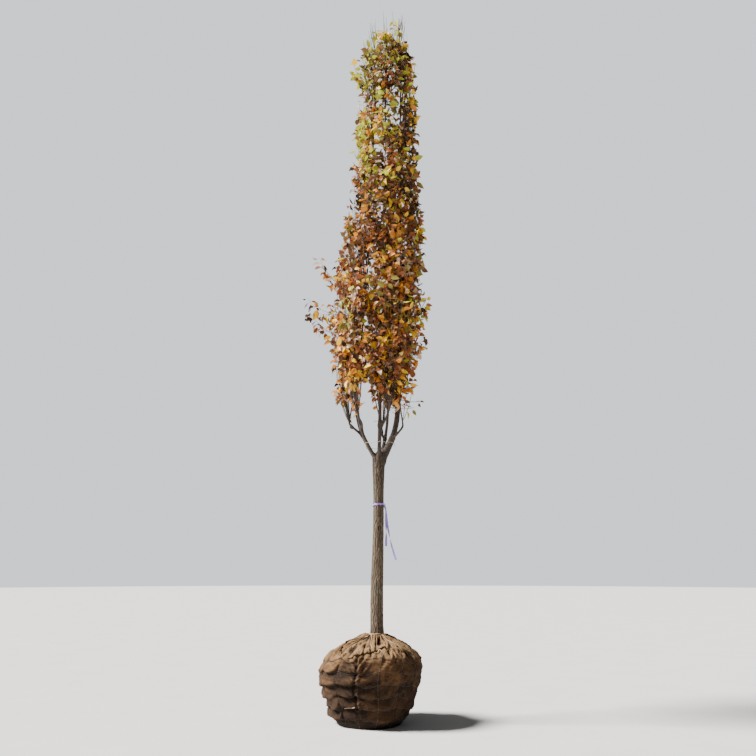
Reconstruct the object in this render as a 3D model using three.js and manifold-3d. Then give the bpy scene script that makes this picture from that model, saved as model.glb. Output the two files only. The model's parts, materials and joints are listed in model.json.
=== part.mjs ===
// A young shade tree in autumn leaf, dug with its root ball, which is wrapped in burlap in a wire basket.
// Its boughs are drawn up into a narrow column, as a nursery ties them before it moves the tree.
// Millimetres, +Z up. The origin is the centre of the root ball's flat underside, and the front faces -Y.

import * as THREE from "three";
import { mergeVertices } from "three/addons/utils/BufferGeometryUtils.js";
import Module from "manifold-3d";

const wasm = await Module();
wasm.setup();

const gap = 0.3; // clearance between pieces that touch
const goldenAngle = Math.PI * (3 - Math.sqrt(5));
const up = new THREE.Vector3(0, 0, 1);

const colours = {
  burlap: { color: 0x8a6a4c, roughness: 0.95, metalness: 0 },
  bark: { color: 0x5d5145, roughness: 0.9, metalness: 0 },
  boughBark: { color: 0x3f352d, roughness: 0.88, metalness: 0 },
  lowFoliage: { color: 0xb8641d, roughness: 0.7, metalness: 0 },
  midFoliage: { color: 0x8a4a26, roughness: 0.7, metalness: 0 },
  topFoliage: { color: 0x8d8a2f, roughness: 0.7, metalness: 0 },
};

// Root ball: its outline from the foot up to the gathered collar at the trunk, as [radius, height].
const ball = {
  outline: [
    [316, 0],
    [362, 80],
    [400, 185],
    [436, 290],
    [468, 400],
    [484, 515],
    [450, 630],
    [385, 695],
    [270, 762],
    [165, 808],
    [112, 842],
  ],
  height: 850,
  leanFrom: 450, // above this the ball's top leans over to the trunk's foot
  columns: 42,
  rowsBetweenHoops: 3,
  crownRows: 4,
  hoopHeights: [80, 185, 290, 400, 515, 630], // the basket's wires, which the burlap bulges between
  uprights: 14,
  bulge: 40,
  sag: 0.7, // under 1, a pouch is fullest below its middle
  creaseShare: 0.4, // how far an upright wire lets the burlap stand out
  fold: 11,
  foldCount: 17,
  foldsEnd: 740, // the folds die out from here up to the collar
};

const trunk = {
  footX: 75,
  footHeight: 800,
  forkX: 100,
  forkHeight: 2650,
  headTop: 2735,
  bow: 9,
  flareRadius: 74,
  footRadius: 63,
  waistRadius: 56,
  headRadius: 67,
  sides: 14,
  rings: 14,
};

// The crown's half width at each height, measured from an axis that leans a little to the right.
const crown = {
  widths: [
    [2660, 240],
    [3100, 450],
    [3500, 550],
    [4000, 610],
    [4350, 650],
    [4800, 570],
    [5400, 470],
    [6000, 420],
    [6700, 390],
    [7300, 390],
    [7800, 310],
    [8250, 190],
  ],
  axisX: 105,
  leanFrom: 3000,
  lean: 0.02,
};

// The five boughs that leave the fork. Angles are in degrees, anticlockwise from +X. Reach is how far a bough
// bows out from the axis, and tuck how far the ties then draw it back in. Each bears a low limb, lowTurn round
// from it, for the foliage at the crown's foot.
const forkBoughs = [
  { side: "right", angle: 6, thick: 43, thin: 10, reach: 205, knee: 620, top: 6860, tuck: 20, lowTurn: -18 },
  { side: "back", angle: 80, thick: 21, thin: 9, reach: 230, knee: 700, top: 4900, tuck: 60, lowTurn: 17 },
  { side: "left", angle: 163, thick: 23, thin: 9, reach: 320, knee: 760, top: 5080, tuck: 110, lowTurn: 17 },
  { side: "front_left", angle: 222, thick: 19, thin: 8, reach: 280, knee: 680, top: 4780, tuck: 90, lowTurn: 16 },
  { side: "front", angle: 286, thick: 24, thin: 9, reach: 190, knee: 640, top: 4960, tuck: 10, lowTurn: 18 },
];

const lowLimb = {
  from: 2840,
  stagger: 35,
  top: 3030,
  knee: 120,
  thickShare: 0.62,
  thickest: 24,
  thin: 8,
  reachShare: 0.55,
  reachMore: 165,
};

// Limbs that leave the right-hand bough, the leader, higher up.
const leaderLimbs = [
  { name: "limb_mid_right", from: 4250, angle: 21, thick: 17, thin: 9, reach: 300, knee: 330, top: 4980, tuck: 10 },
  { name: "limb_top_left", from: 5900, angle: 172, thick: 13, thin: 8, reach: 150, knee: 420, top: 6900, tuck: 10 },
  { name: "limb_top_front", from: 6150, angle: 282, thick: 12, thin: 8, reach: 120, knee: 330, top: 6940, tuck: 0 },
];

const limbShape = {
  sides: 7,
  step: 240, // length of limb to one ring of its mesh
  fewestRings: 5,
  footSpread: 24, // how far from the trunk's axis the fork boughs start
  footDepth: 40, // how far below the fork they start
  shoulder: 0.78, // share of its reach that a limb has halfway to its knee
  sway: 3, // degrees that it swings round the crown between knee and tip
  taper: 0.8,
};

// Foliage: one stem to a mass, twigs round it at the golden angle, and leaves that each stand for a spray.
const foliage = {
  bottom: 2680,
  parting: 12, // empty height between a mass and the one above it
  stemTip: 4,
  stemSides: 4,
  twigSpacing: 200,
  twigRings: 2,
  twigSides: 3,
  twigRadius: 7.5,
  twigTipRadius: 5,
  twigSpread: 95, // how far round from the outer side a twig may leave the stem
  lowestPitch: -42,
  highestPitch: 64,
  pitchVariation: 24,
  upturn: 26, // how much a twig bends up on its way
  shortestTwig: 110,
  longestTwig: 420,
  leavesPerTwig: 4,
  firstLeaf: 0.3, // share of a twig's length that its first leaf stands beyond
  lastLeaf: 0.965,
  leavesPerStemMetre: 4,
  leafLength: 290,
  leafWidth: 185,
  leafThickness: 5,
  widestAt: 0.4,
  leafJoint: 30, // the longest stretch of its own twig that a leaf may lie in
  attempts: 30,
  shrink: 0.5, // how much smaller a leaf may be made until it fits
  limbClearance: 8,
  edge: 4,
};

// Where the crown's three layers of foliage meet, and where the stems of their masses end.
const layers = {
  apexX: 125, // the sectors of the two lower layers meet on this upright line
  leaderParting: 4950, // in the leader's sector; elsewhere the layers part just below a fork bough's tip
  belowTip: 30,
  lowStemOut: 100, // how far outside its bough a low stem ends
  midTop: 6800,
  midStemReach: 220,
  leaderMidTurn: 14,
  leaderMidReach: 290,
  topBottom: 6812,
  topApexHeight: 7400,
  stemEnd: 40, // a stem ends this far under its mass's top
};
const topMasses = [
  { side: "right", limb: "bough_right", from: -38, to: 92, middle: 10, stemReach: 150, top: 8250 },
  { side: "left", limb: "limb_top_left", from: 92, to: 232, middle: 170, stemReach: 170, top: 8080 },
  { side: "front", limb: "limb_top_front", from: 232, to: 322, middle: 277, stemReach: 110, top: 7960 },
];

// Twigs that have slipped the ties and stand well out of the column.
const strays = {
  foliage_low_left: [
    { along: 0.5, turn: 176, pitch: 22, length: 570 },
    { along: 0.66, turn: 168, pitch: 8, length: 500 },
    { along: 0.8, turn: 184, pitch: 34, length: 430 },
  ],
  foliage_low_front: [{ along: 0.55, turn: 290, pitch: 28, length: 430 }],
  foliage_low_back: [{ along: 0.62, turn: 74, pitch: 24, length: 450 }],
  foliage_top_left: [{ along: 0.3, turn: 172, pitch: 38, length: 430 }],
};

const toRadians = THREE.MathUtils.degToRad;

// Repeatable random numbers from 0 to 1.
function seededRandom(seed) {
  let state = seed >>> 0;
  return () => {
    state = (state + 0x6d2b79f5) >>> 0;
    let mixed = Math.imul(state ^ (state >>> 15), state | 1);
    mixed = (mixed + Math.imul(mixed ^ (mixed >>> 7), mixed | 61)) ^ mixed;
    return ((mixed ^ (mixed >>> 14)) >>> 0) / 4294967296;
  };
}

// Straight-line lookup in a table of [position, value].
function lookUp(table, position) {
  if (position <= table[0][0]) return table[0][1];
  for (let i = 1; i < table.length; i++) {
    const [from, low] = table[i - 1];
    const [to, high] = table[i];
    if (position <= to) return THREE.MathUtils.mapLinear(position, from, to, low, high);
  }
  return table.at(-1)[1];
}

const crownWidth = (height) => lookUp(crown.widths, height);
const crownAxisX = (height) => crown.axisX + crown.lean * Math.max(0, height - crown.leanFrom);

function toSolid(geometry) {
  const bare = geometry.index ? geometry.toNonIndexed() : geometry.clone();
  bare.deleteAttribute("normal");
  bare.deleteAttribute("uv");
  const merged = mergeVertices(bare, 1e-3);
  return new wasm.Manifold(
    new wasm.Mesh({
      numProp: 3,
      vertProperties: new Float32Array(merged.attributes.position.array),
      triVerts: new Uint32Array(merged.index.array),
    }),
  );
}

function toGeometry(solid) {
  const { vertProperties, triVerts } = solid.getMesh();
  const geometry = new THREE.BufferGeometry();
  geometry.setAttribute("position", new THREE.BufferAttribute(new Float32Array(vertProperties), 3));
  geometry.setIndex(new THREE.BufferAttribute(new Uint32Array(triVerts), 1));
  geometry.computeVertexNormals();
  return geometry;
}

// The largest body of a solid: loose scraps and sealed hollows are dropped.
function mainBody(solid) {
  const bodies = solid.decompose();
  return bodies.reduce((best, body) => (body.volume() > best.volume() ? body : best));
}

// A closed tapering tube: a cylinder bent along a curve, with its radius given along the way.
function taperedTube(curve, radiusAt, sides, rings, grow = 0) {
  const geometry = new THREE.CylinderGeometry(1, 1, 1, sides, rings);
  const position = geometry.attributes.position;
  const local = new THREE.Vector3();
  const reference = new THREE.Vector3(0, 1, 0);
  for (let i = 0; i < position.count; i++) {
    local.fromBufferAttribute(position, i);
    const along = local.y + 0.5;
    const centre = curve.getPoint(along);
    const tangent = curve.getTangent(along);
    const side = new THREE.Vector3().crossVectors(reference, tangent).normalize();
    const ahead = new THREE.Vector3().crossVectors(tangent, side);
    const radius = radiusAt(along) + grow;
    const end = local.y < -0.49 ? -grow : local.y > 0.49 ? grow : 0;
    centre.addScaledVector(side, local.x * radius);
    centre.addScaledVector(ahead, -local.z * radius);
    centre.addScaledVector(tangent, end);
    position.setXYZ(i, centre.x, centre.y, centre.z);
  }
  return geometry;
}

// How far the burlap stands out from the ball's plain outline: pouches between the basket's wires, which sag
// towards the wire below, and folds that run up over the shoulder to the collar.
function burlapRelief(angle, height) {
  const { hoopHeights, uprights, bulge, sag, creaseShare, fold, foldCount, foldsEnd, height: top } = ball;
  const above = hoopHeights.findIndex((hoop) => hoop > height);
  const uneven = 0.75 + 0.25 * Math.sin(3 * angle + 1.3) * Math.sin(height / 95 + 2 * angle);
  if (above > 0) {
    const share = (height - hoopHeights[above - 1]) / (hoopHeights[above] - hoopHeights[above - 1]);
    const pouch = Math.sin(Math.PI * Math.pow(share, sag));
    const column = Math.pow(Math.abs(Math.cos((uprights * angle) / 2)), 0.7);
    return bulge * uneven * pouch * THREE.MathUtils.lerp(creaseShare, 1, column);
  }
  if (above === 0) return 0;
  const shoulder = THREE.MathUtils.smoothstep(height, hoopHeights.at(-1), hoopHeights.at(-1) + 60);
  const collar = 1 - THREE.MathUtils.smoothstep(height, foldsEnd, top);
  return fold * shoulder * collar * (0.9 + Math.sin(foldCount * angle + height / 60) + 0.5 * Math.sin(7 * angle));
}

function ballHeights() {
  const { hoopHeights, rowsBetweenHoops, crownRows, outline } = ball;
  const heights = [0, hoopHeights[0] / 2];
  hoopHeights.slice(0, -1).forEach((hoop, i) => {
    for (let row = 0; row < rowsBetweenHoops; row++) {
      heights.push(hoop + ((hoopHeights[i + 1] - hoop) * row) / rowsBetweenHoops);
    }
  });
  const top = outline.at(-1)[1];
  for (let row = 0; row <= crownRows; row++) {
    heights.push(THREE.MathUtils.lerp(hoopHeights.at(-1), top, row / crownRows));
  }
  return heights;
}

function rootBallSolid(trunkFoot) {
  const byHeight = ball.outline.map(([radius, height]) => [height, radius]);
  const profile = [new THREE.Vector2(0, 0)];
  for (const height of ballHeights()) profile.push(new THREE.Vector2(lookUp(byHeight, height), height));
  profile.push(new THREE.Vector2(0, ball.height));
  const geometry = new THREE.LatheGeometry(profile, ball.columns).rotateX(Math.PI / 2);
  const position = geometry.attributes.position;
  for (let i = 0; i < position.count; i++) {
    const z = position.getZ(i);
    const column = Math.floor(i / profile.length) % ball.columns;
    const angle = (column / ball.columns) * 2 * Math.PI - Math.PI / 2;
    const plain = Math.hypot(position.getX(i), position.getY(i));
    const radius = plain < 1 ? 0 : plain + burlapRelief(angle, z);
    const shift = trunk.footX * THREE.MathUtils.smoothstep(z, ball.leanFrom, ball.height);
    position.setXYZ(i, radius * Math.cos(angle) + shift, radius * Math.sin(angle), z);
  }
  return mainBody(toSolid(geometry).subtract(trunkFoot));
}

function trunkCurve() {
  const { footX, forkX, footHeight, headTop, bow } = trunk;
  return new THREE.CatmullRomCurve3([
    new THREE.Vector3(footX, 0, footHeight),
    new THREE.Vector3(footX + bow, -bow, footHeight + 600),
    new THREE.Vector3(forkX - bow, bow, footHeight + 1200),
    new THREE.Vector3(forkX, 0, headTop),
  ]);
}

// The trunk flares at the root, narrows to a waist and swells where it forks, with a rounded top.
function trunkRadius(along) {
  const { flareRadius, footRadius, waistRadius, headRadius } = trunk;
  return lookUp(
    [
      [0, flareRadius],
      [0.05, footRadius + 3],
      [0.1, footRadius],
      [0.8, waistRadius],
      [0.93, headRadius],
      [0.97, headRadius * 0.9],
      [1, headRadius * 0.55],
    ],
    along,
  );
}

const trunkSolid = (grow = 0) => toSolid(taperedTube(trunkCurve(), trunkRadius, trunk.sides, trunk.rings, grow));

// A point at a height and angle round the crown's axis, out from it by reach.
function crownPoint(angle, reach, height) {
  const turn = toRadians(angle);
  return new THREE.Vector3(crownAxisX(height) + reach * Math.cos(turn), reach * Math.sin(turn), height);
}

// A limb leaves its parent, bows out to its reach at the knee, and is drawn up and in to its tip.
function limbCurve(start, limb) {
  const { angle, reach, knee, top, tuck } = limb;
  const kneeHeight = start.z + knee;
  const shoulder = crownPoint(angle, reach * limbShape.shoulder, start.z + knee / 2);
  const middle = (kneeHeight + top) / 2;
  return new THREE.CatmullRomCurve3([
    start,
    shoulder,
    crownPoint(angle, reach, kneeHeight),
    crownPoint(angle + limbShape.sway, reach - tuck * 0.4, middle),
    crownPoint(angle, reach - tuck, top),
  ]);
}

// The point on a curve that climbs to a height.
function pointAtHeight(curve, height) {
  const miss = (point) => Math.abs(point.z - height);
  return curve.getPoints(200).reduce((best, point) => (miss(point) < miss(best) ? point : best));
}

function makeLimb(name, start, limb) {
  const curve = limbCurve(start, limb);
  const radiusAt = (along) => THREE.MathUtils.lerp(limb.thick, limb.thin, Math.pow(along, limbShape.taper));
  return { name, curve, radiusAt, thin: limb.thin };
}

function lowLimbOn(bough, spec, index) {
  const lift = lowLimb.stagger * index;
  return makeLimb(`limb_low_${spec.side}`, pointAtHeight(bough.curve, lowLimb.from + lift), {
    angle: spec.angle + spec.lowTurn,
    thick: lowLimb.thickShare * Math.min(spec.thick, lowLimb.thickest),
    thin: lowLimb.thin,
    reach: lowLimb.reachShare * spec.reach + lowLimb.reachMore,
    knee: lowLimb.knee,
    top: lowLimb.top + lift,
    tuck: 0,
  });
}

function makeLimbs() {
  const fork = new THREE.Vector3(trunk.forkX, 0, trunk.forkHeight - limbShape.footDepth);
  const boughs = forkBoughs.map((spec) => {
    const aside = new THREE.Vector3(limbShape.footSpread, 0, 0);
    aside.applyAxisAngle(up, toRadians(spec.angle));
    return makeLimb(`bough_${spec.side}`, fork.clone().add(aside), spec);
  });
  const low = boughs.map((bough, i) => lowLimbOn(bough, forkBoughs[i], i));
  const leader = boughs[0];
  const high = leaderLimbs.map((spec) => makeLimb(spec.name, pointAtHeight(leader.curve, spec.from), spec));
  return [...boughs, ...low, ...high];
}

function limbTube(limb, grow = 0) {
  const rings = Math.max(limbShape.fewestRings, Math.round(limb.curve.getLength() / limbShape.step));
  return toSolid(taperedTube(limb.curve, limb.radiusAt, limbShape.sides, rings, grow));
}

// Each limb is cut clear of the trunk and of the limbs made before it, so that its foot fits theirs.
function limbSolids(limbs, grownTrunk) {
  const grown = [grownTrunk];
  return limbs.map((limb) => {
    let solid = limbTube(limb);
    for (const other of grown) solid = solid.subtract(other);
    grown.push(limbTube(limb, gap));
    return mainBody(solid);
  });
}

// The space that a mass keeps to: a sector of the crown between two heights. Only strays pass the crown's edge.
function insideSpace(mass, point, edge, isStray) {
  const dx = point.x - mass.apexX;
  const dy = point.y;
  const pastFrom = dy * Math.cos(mass.from) - dx * Math.sin(mass.from);
  const beforeTo = dx * Math.sin(mass.to) - dy * Math.cos(mass.to);
  const reach = Math.hypot(point.x - crownAxisX(point.z), point.y);
  const inCrown = isStray || reach < crownWidth(point.z);
  return inCrown && Math.min(pastFrom, beforeTo, point.z - mass.bottom, mass.top - point.z) > edge;
}

// A point along a tube's centre, on the straight run between two of its rings.
function onTube(curve, rings, along) {
  const ring = Math.min(rings - 1, Math.floor(along * rings));
  return curve.getPoint(ring / rings).lerp(curve.getPoint((ring + 1) / rings), along * rings - ring);
}

// A leaf is a thin eight-faced blade, widest near its stalk end, that starts on its twig's centre.
function leafBlade(root, direction, roll, size) {
  const length = foliage.leafLength * size;
  const blade = new THREE.OctahedronGeometry(1, 0);
  blade.scale(length / 2, (foliage.leafWidth * size) / 2, foliage.leafThickness / 2).translate(length / 2, 0, 0);
  const position = blade.attributes.position;
  for (let i = 0; i < position.count; i++) {
    if (Math.abs(position.getX(i) - length / 2) < 1) position.setX(i, length * foliage.widestAt);
  }
  const across = new THREE.Vector3().crossVectors(direction, up).normalize();
  const face = new THREE.Vector3().crossVectors(direction, across);
  blade.rotateX(roll).applyMatrix4(new THREE.Matrix4().makeBasis(direction, across, face));
  return blade.translate(root.x, root.y, root.z);
}

function leafInSpace(blade, mass, isStray) {
  const position = blade.attributes.position;
  const corner = new THREE.Vector3();
  for (let i = 0; i < position.count; i++) {
    corner.fromBufferAttribute(position, i);
    if (!insideSpace(mass, corner, foliage.edge, isStray)) return false;
  }
  return true;
}

function twigInSpace(curve, mass, isStray) {
  const margin = foliage.twigRadius + foliage.edge;
  return curve.getPoints(12).every((point) => insideSpace(mass, point, margin, isStray));
}

const clearOf = (solid, others) => others.every((other) => other.intersect(solid).isEmpty());

// A twig leaves the stem at a pitch above the level, and bends up towards its tip.
function twigCurve(start, twig, length) {
  const stepOut = (from, pitch) => {
    const level = Math.cos(pitch) * length * 0.5;
    const out = new THREE.Vector3(Math.cos(twig.turn) * level, Math.sin(twig.turn) * level, 0);
    return from.clone().add(out).addScaledVector(up, Math.sin(pitch) * length * 0.5);
  };
  const knee = stepOut(start, twig.pitch);
  return new THREE.QuadraticBezierCurve3(start, knee, stepOut(knee, twig.pitch + toRadians(foliage.upturn)));
}

// Leaves stand out to either side along a twig or stem and hang. Each is tried at several turns, and it is kept
// where it stays in the space, off the limbs and off the twigs and leaves so far.
function addLeaves(parts, bearer, count, mass, keepOff, random) {
  const others = [...keepOff, ...parts.filter((part) => part !== bearer.solid)];
  for (let i = 0; i < count; i++) {
    const along = THREE.MathUtils.lerp(bearer.firstLeaf, foliage.lastLeaf, (i + 0.6) / (count - 0.4));
    const root = onTube(bearer.curve, bearer.rings, Math.min(along, foliage.lastLeaf));
    const tangent = bearer.curve.getTangent(along);
    const turned = bearer.isStem ? goldenAngle * i : i * Math.PI;
    const side = new THREE.Vector3().crossVectors(tangent, up).normalize().applyAxisAngle(tangent, turned);
    for (let attempt = 0; attempt < foliage.attempts; attempt++) {
      const direction = side.clone().multiplyScalar(0.4 + 0.9 * random());
      direction.addScaledVector(tangent, 0.1 + 0.7 * random());
      direction.z -= 0.3 + 1.1 * random();
      const roll = (random() - 0.5) * 2.8;
      const size = (0.9 + 0.2 * random()) * (1 - (foliage.shrink * attempt) / foliage.attempts);
      const blade = leafBlade(root, direction.normalize(), roll, size);
      if (!leafInSpace(blade, mass, bearer.isStray)) continue;
      const solid = toSolid(blade);
      const joint = bearer.solid.intersect(solid);
      const { min, max } = joint.boundingBox();
      if (Math.hypot(max[0] - min[0], max[1] - min[1], max[2] - min[2]) > foliage.leafJoint) continue;
      if (!clearOf(solid, others)) continue;
      others.push(solid);
      parts.push(solid);
      break;
    }
  }
}

// The twigs of a mass in order up its stem, as plans: where each leaves it, which way and how far it may go.
function twigPlans(mass, stem, random) {
  const count = Math.round(stem.getLength() / foliage.twigSpacing);
  const regular = Array.from({ length: count }, (_, i) => {
    const along = 0.01 + 0.94 * Math.pow((i + 0.5) / count, 1.15);
    const root = stem.getPoint(along);
    const spread = toRadians(foliage.twigSpread) * Math.sin(goldenAngle * i * 1.7 + mass.seed);
    const pitch = THREE.MathUtils.lerp(foliage.lowestPitch, foliage.highestPitch, Math.pow(along, 0.6));
    const room = crownWidth(root.z) - Math.hypot(root.x - crownAxisX(root.z), root.y);
    const length = THREE.MathUtils.clamp(room * 1.5, foliage.shortestTwig * 1.6, foliage.longestTwig);
    return {
      along,
      turn: toRadians(mass.middle) + spread,
      pitch: toRadians(pitch + foliage.pitchVariation * (random() - 0.5)),
      length,
      isStray: false,
    };
  });
  const loose = (strays[mass.name] ?? []).map(({ along, turn, pitch, length }) => ({
    along,
    turn: toRadians(turn),
    pitch: toRadians(pitch),
    length,
    isStray: true,
  }));
  return [...loose, ...regular];
}

// One mass: its stem carries on from the tip of its limb, 0.3 mm clear of it.
function growMass(mass, limbs, keepOff) {
  const random = seededRandom(mass.seed);
  const limb = limbs.find((one) => one.name === mass.limb);
  const heading = limb.curve.getTangent(1);
  const start = limb.curve.getPoint(1).addScaledVector(heading, gap);
  const end = crownPoint(mass.middle, mass.stemReach, mass.top - layers.stemEnd);
  const third = start.distanceTo(end) / 3;
  const bend = end.clone().addScaledVector(up, -third);
  const stem = new THREE.CubicBezierCurve3(start, start.clone().addScaledVector(heading, third), bend, end);
  const stemRadius = (along) => THREE.MathUtils.lerp(limb.thin, foliage.stemTip, along);
  const stemRings = Math.max(4, Math.round(stem.getLength() / limbShape.step));
  const parts = [toSolid(taperedTube(stem, stemRadius, foliage.stemSides, stemRings))];
  const twigRadius = (along) => THREE.MathUtils.lerp(foliage.twigRadius, foliage.twigTipRadius, along);
  const twigs = [];
  for (const twig of twigPlans(mass, stem, random)) {
    const root = onTube(stem, stemRings, twig.along);
    const rings = twig.isStray ? foliage.twigRings + 1 : foliage.twigRings;
    for (const share of [1, 0.8, 0.6, 0.45]) {
      const length = twig.length * share;
      const curve = twigCurve(root, twig, length);
      if (length < foliage.shortestTwig || !twigInSpace(curve, mass, twig.isStray)) continue;
      const solid = toSolid(taperedTube(curve, twigRadius, foliage.twigSides, rings));
      if (!clearOf(solid, keepOff)) continue;
      twigs.push({ ...twig, curve, rings, solid, firstLeaf: foliage.firstLeaf });
      parts.push(solid);
      break;
    }
  }
  for (const twig of twigs) addLeaves(parts, twig, foliage.leavesPerTwig, mass, keepOff, random);
  const bearer = { curve: stem, rings: stemRings, solid: parts[0], firstLeaf: 0.01, isStem: true };
  const stemLeaves = Math.round((stem.getLength() / 1000) * foliage.leavesPerStemMetre);
  addLeaves(parts, bearer, stemLeaves, mass, keepOff, random);
  return mainBody(wasm.Manifold.union(parts));
}

// The crown's sectors, parted midway between the fork boughs, each with a low and a middle mass.
function makeMasses() {
  const angles = forkBoughs.map((bough) => bough.angle);
  const masses = forkBoughs.flatMap((bough, i) => {
    const before = i ? angles[i - 1] : angles.at(-1) - 360;
    const after = i < angles.length - 1 ? angles[i + 1] : angles[0] + 360;
    const isLeader = i === 0;
    const parting = isLeader ? layers.leaderParting : bough.top - layers.belowTip;
    const sector = {
      apexX: layers.apexX,
      from: toRadians((before + bough.angle) / 2),
      to: toRadians((after + bough.angle) / 2),
    };
    const low = {
      ...sector,
      name: `foliage_low_${bough.side}`,
      limb: `limb_low_${bough.side}`,
      bottom: foliage.bottom,
      top: parting - foliage.parting,
      middle: bough.angle + bough.lowTurn,
      stemReach: bough.reach + layers.lowStemOut,
      seed: 11 + 9 * i,
      material: "lowFoliage",
    };
    const mid = {
      ...sector,
      name: `foliage_mid_${bough.side}`,
      limb: isLeader ? "limb_mid_right" : `bough_${bough.side}`,
      bottom: parting,
      top: layers.midTop,
      middle: isLeader ? bough.angle + layers.leaderMidTurn : bough.angle,
      stemReach: isLeader ? layers.leaderMidReach : layers.midStemReach,
      seed: 58 + 5 * i,
      material: "midFoliage",
    };
    return [low, mid];
  });
  const tops = topMasses.map((top, i) => ({
    ...top,
    name: `foliage_top_${top.side}`,
    apexX: crownAxisX(layers.topApexHeight),
    from: toRadians(top.from),
    to: toRadians(top.to),
    bottom: layers.topBottom,
    seed: 91 + 3 * i,
    material: "topFoliage",
  }));
  return [...masses, ...tops];
}

const materials = Object.fromEntries(
  Object.entries(colours).map(([name, look]) => [name, new THREE.MeshStandardMaterial(look)]),
);

function addPiece(group, name, solid, material) {
  const mesh = new THREE.Mesh(toGeometry(solid), materials[material]);
  mesh.name = name;
  group.add(mesh);
}

const tree = new THREE.Group();
const limbs = makeLimbs();
const keepOff = limbs.map((limb) => limbTube(limb, foliage.limbClearance));

addPiece(tree, "root_ball", rootBallSolid(trunkSolid(gap)), "burlap");
addPiece(tree, "trunk", trunkSolid(), "bark");
limbSolids(limbs, trunkSolid(gap)).forEach((solid, i) => addPiece(tree, limbs[i].name, solid, "boughBark"));
for (const mass of makeMasses()) addPiece(tree, mass.name, growMass(mass, limbs, keepOff), mass.material);

export default tree;
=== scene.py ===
import json
import math

import bmesh
import bpy
import numpy as np
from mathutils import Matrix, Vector

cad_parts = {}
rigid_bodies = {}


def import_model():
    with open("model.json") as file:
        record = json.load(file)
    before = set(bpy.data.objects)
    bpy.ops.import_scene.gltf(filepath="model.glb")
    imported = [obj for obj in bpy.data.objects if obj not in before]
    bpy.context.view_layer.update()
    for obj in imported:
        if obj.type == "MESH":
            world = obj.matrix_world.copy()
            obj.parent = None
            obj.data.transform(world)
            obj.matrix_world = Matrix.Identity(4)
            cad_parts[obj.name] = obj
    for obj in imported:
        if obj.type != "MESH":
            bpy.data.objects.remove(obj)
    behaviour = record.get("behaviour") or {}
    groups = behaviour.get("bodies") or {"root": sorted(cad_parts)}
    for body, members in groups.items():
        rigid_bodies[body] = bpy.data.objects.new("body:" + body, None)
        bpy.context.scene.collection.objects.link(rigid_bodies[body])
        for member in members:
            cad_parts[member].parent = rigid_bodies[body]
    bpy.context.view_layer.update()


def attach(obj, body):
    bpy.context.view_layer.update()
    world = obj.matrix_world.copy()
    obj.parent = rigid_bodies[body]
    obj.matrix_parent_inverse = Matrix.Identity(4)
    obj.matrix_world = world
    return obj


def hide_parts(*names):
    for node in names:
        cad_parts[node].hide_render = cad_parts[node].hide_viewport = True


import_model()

# A young shade tree in autumn leaf with its burlap-wrapped root ball. Metres, +Z up, the front faces -Y.
fullTurn = 2 * math.pi
goldenAngle = math.pi * (3 - math.sqrt(5))
upward = np.array([0.0, 0.0, 1.0])


# Numbers and lines

def smoothStep(value, low, high):
    share = np.clip((value - low) / (high - low), 0, 1)
    return share * share * (3 - 2 * share)


def between(value, low, full, ebb, high):
    # rises to 1 from low to full, and falls again from ebb to high
    return smoothStep(value, low, full) * (1 - smoothStep(value, ebb, high))


def waves(angle, height, rows):
    # sines round the axis and up it, each (size, how many round, climb, start)
    return sum(size * np.sin(count * angle + climb * height + start) for size, count, climb, start in rows)


def unit(vectors):
    size = np.linalg.norm(vectors, axis=-1, keepdims=True)
    return vectors / np.maximum(size, 1e-9)


def makeNoise(seed, rows, columns):
    # smooth value noise on a lattice that wraps round in both directions
    table = np.random.RandomState(seed).rand(rows, columns)

    def sample(across, up):
        i, j = np.floor(up).astype(int), np.floor(across).astype(int)
        a, b = up - i, across - j
        a, b = a * a * (3 - 2 * a), b * b * (3 - 2 * b)
        left, right = j % columns, (j + 1) % columns
        near, far = [table[k % rows, left] * (1 - b) + table[k % rows, right] * b for k in (i, i + 1)]
        return near * (1 - a) + far * a

    return sample


def catmullRom(points, count):
    # centripetal curve through the points, sampled evenly in its own parameter
    p = np.array(points, float)
    p = np.vstack([2 * p[0] - p[1], p, 2 * p[-1] - p[-2]])
    last = len(points) - 1
    samples = []
    for t in np.linspace(0, last, count):
        k = min(int(t), last - 1)
        w = t - k
        a, b, c, d = p[k:k + 4]
        ab, bc, cd = [max(np.dot(step, step) ** 0.25, 1e-4) for step in (b - a, c - b, d - c)]
        start = ((b - a) / ab - (c - a) / (ab + bc) + (c - b) / bc) * bc
        end = ((c - b) / bc - (d - b) / (bc + cd) + (d - c) / cd) * bc
        square = (-3 * b + 3 * c - 2 * start - end) * w**2
        samples.append(b + start * w + square + (2 * b - 2 * c + start + end) * w**3)
    return np.array(samples)


def arc(start, knee, tip, count):
    # leaves the start towards the knee and comes to the tip from it
    t = np.linspace(0, 1, count)[:, None]
    return start * (1 - t) ** 2 + 2 * knee * t * (1 - t) + tip * t**2


def alongLine(line, share):
    # points at shares of a sampled line
    at = np.asarray(share) * (len(line) - 1)
    return np.stack([np.interp(at, np.arange(len(line)), values) for values in line.T], -1)


def averaged(line, before, after, window):
    # a running mean, with what is to stand before and after the line
    padded = np.concatenate([before, line, after])
    return np.stack([np.convolve(values, window, "valid") for values in padded.T], -1)


def eased(line, reach):
    # rounds off a line's kinks over reach samples either way, and keeps its ends
    window = np.hanning(2 * reach + 3)[1:-1]
    before, after = 2 * line[:1] - line[reach:0:-1], 2 * line[-1:] - line[-2:-reach - 2:-1]
    return averaged(line, before, after, window / window.sum())


def lineLength(line):
    return float(np.linalg.norm(np.diff(line, axis=0), axis=1).sum())


def lengthsAlong(line):
    return np.concatenate([[0], np.cumsum(np.linalg.norm(np.diff(line, axis=0), axis=1))])


def resample(line, spacing):
    length = lengthsAlong(line)
    even = np.linspace(0, length[-1], max(4, int(length[-1] / spacing)))
    return np.stack([np.interp(even, length, values) for values in line.T], -1)


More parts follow.
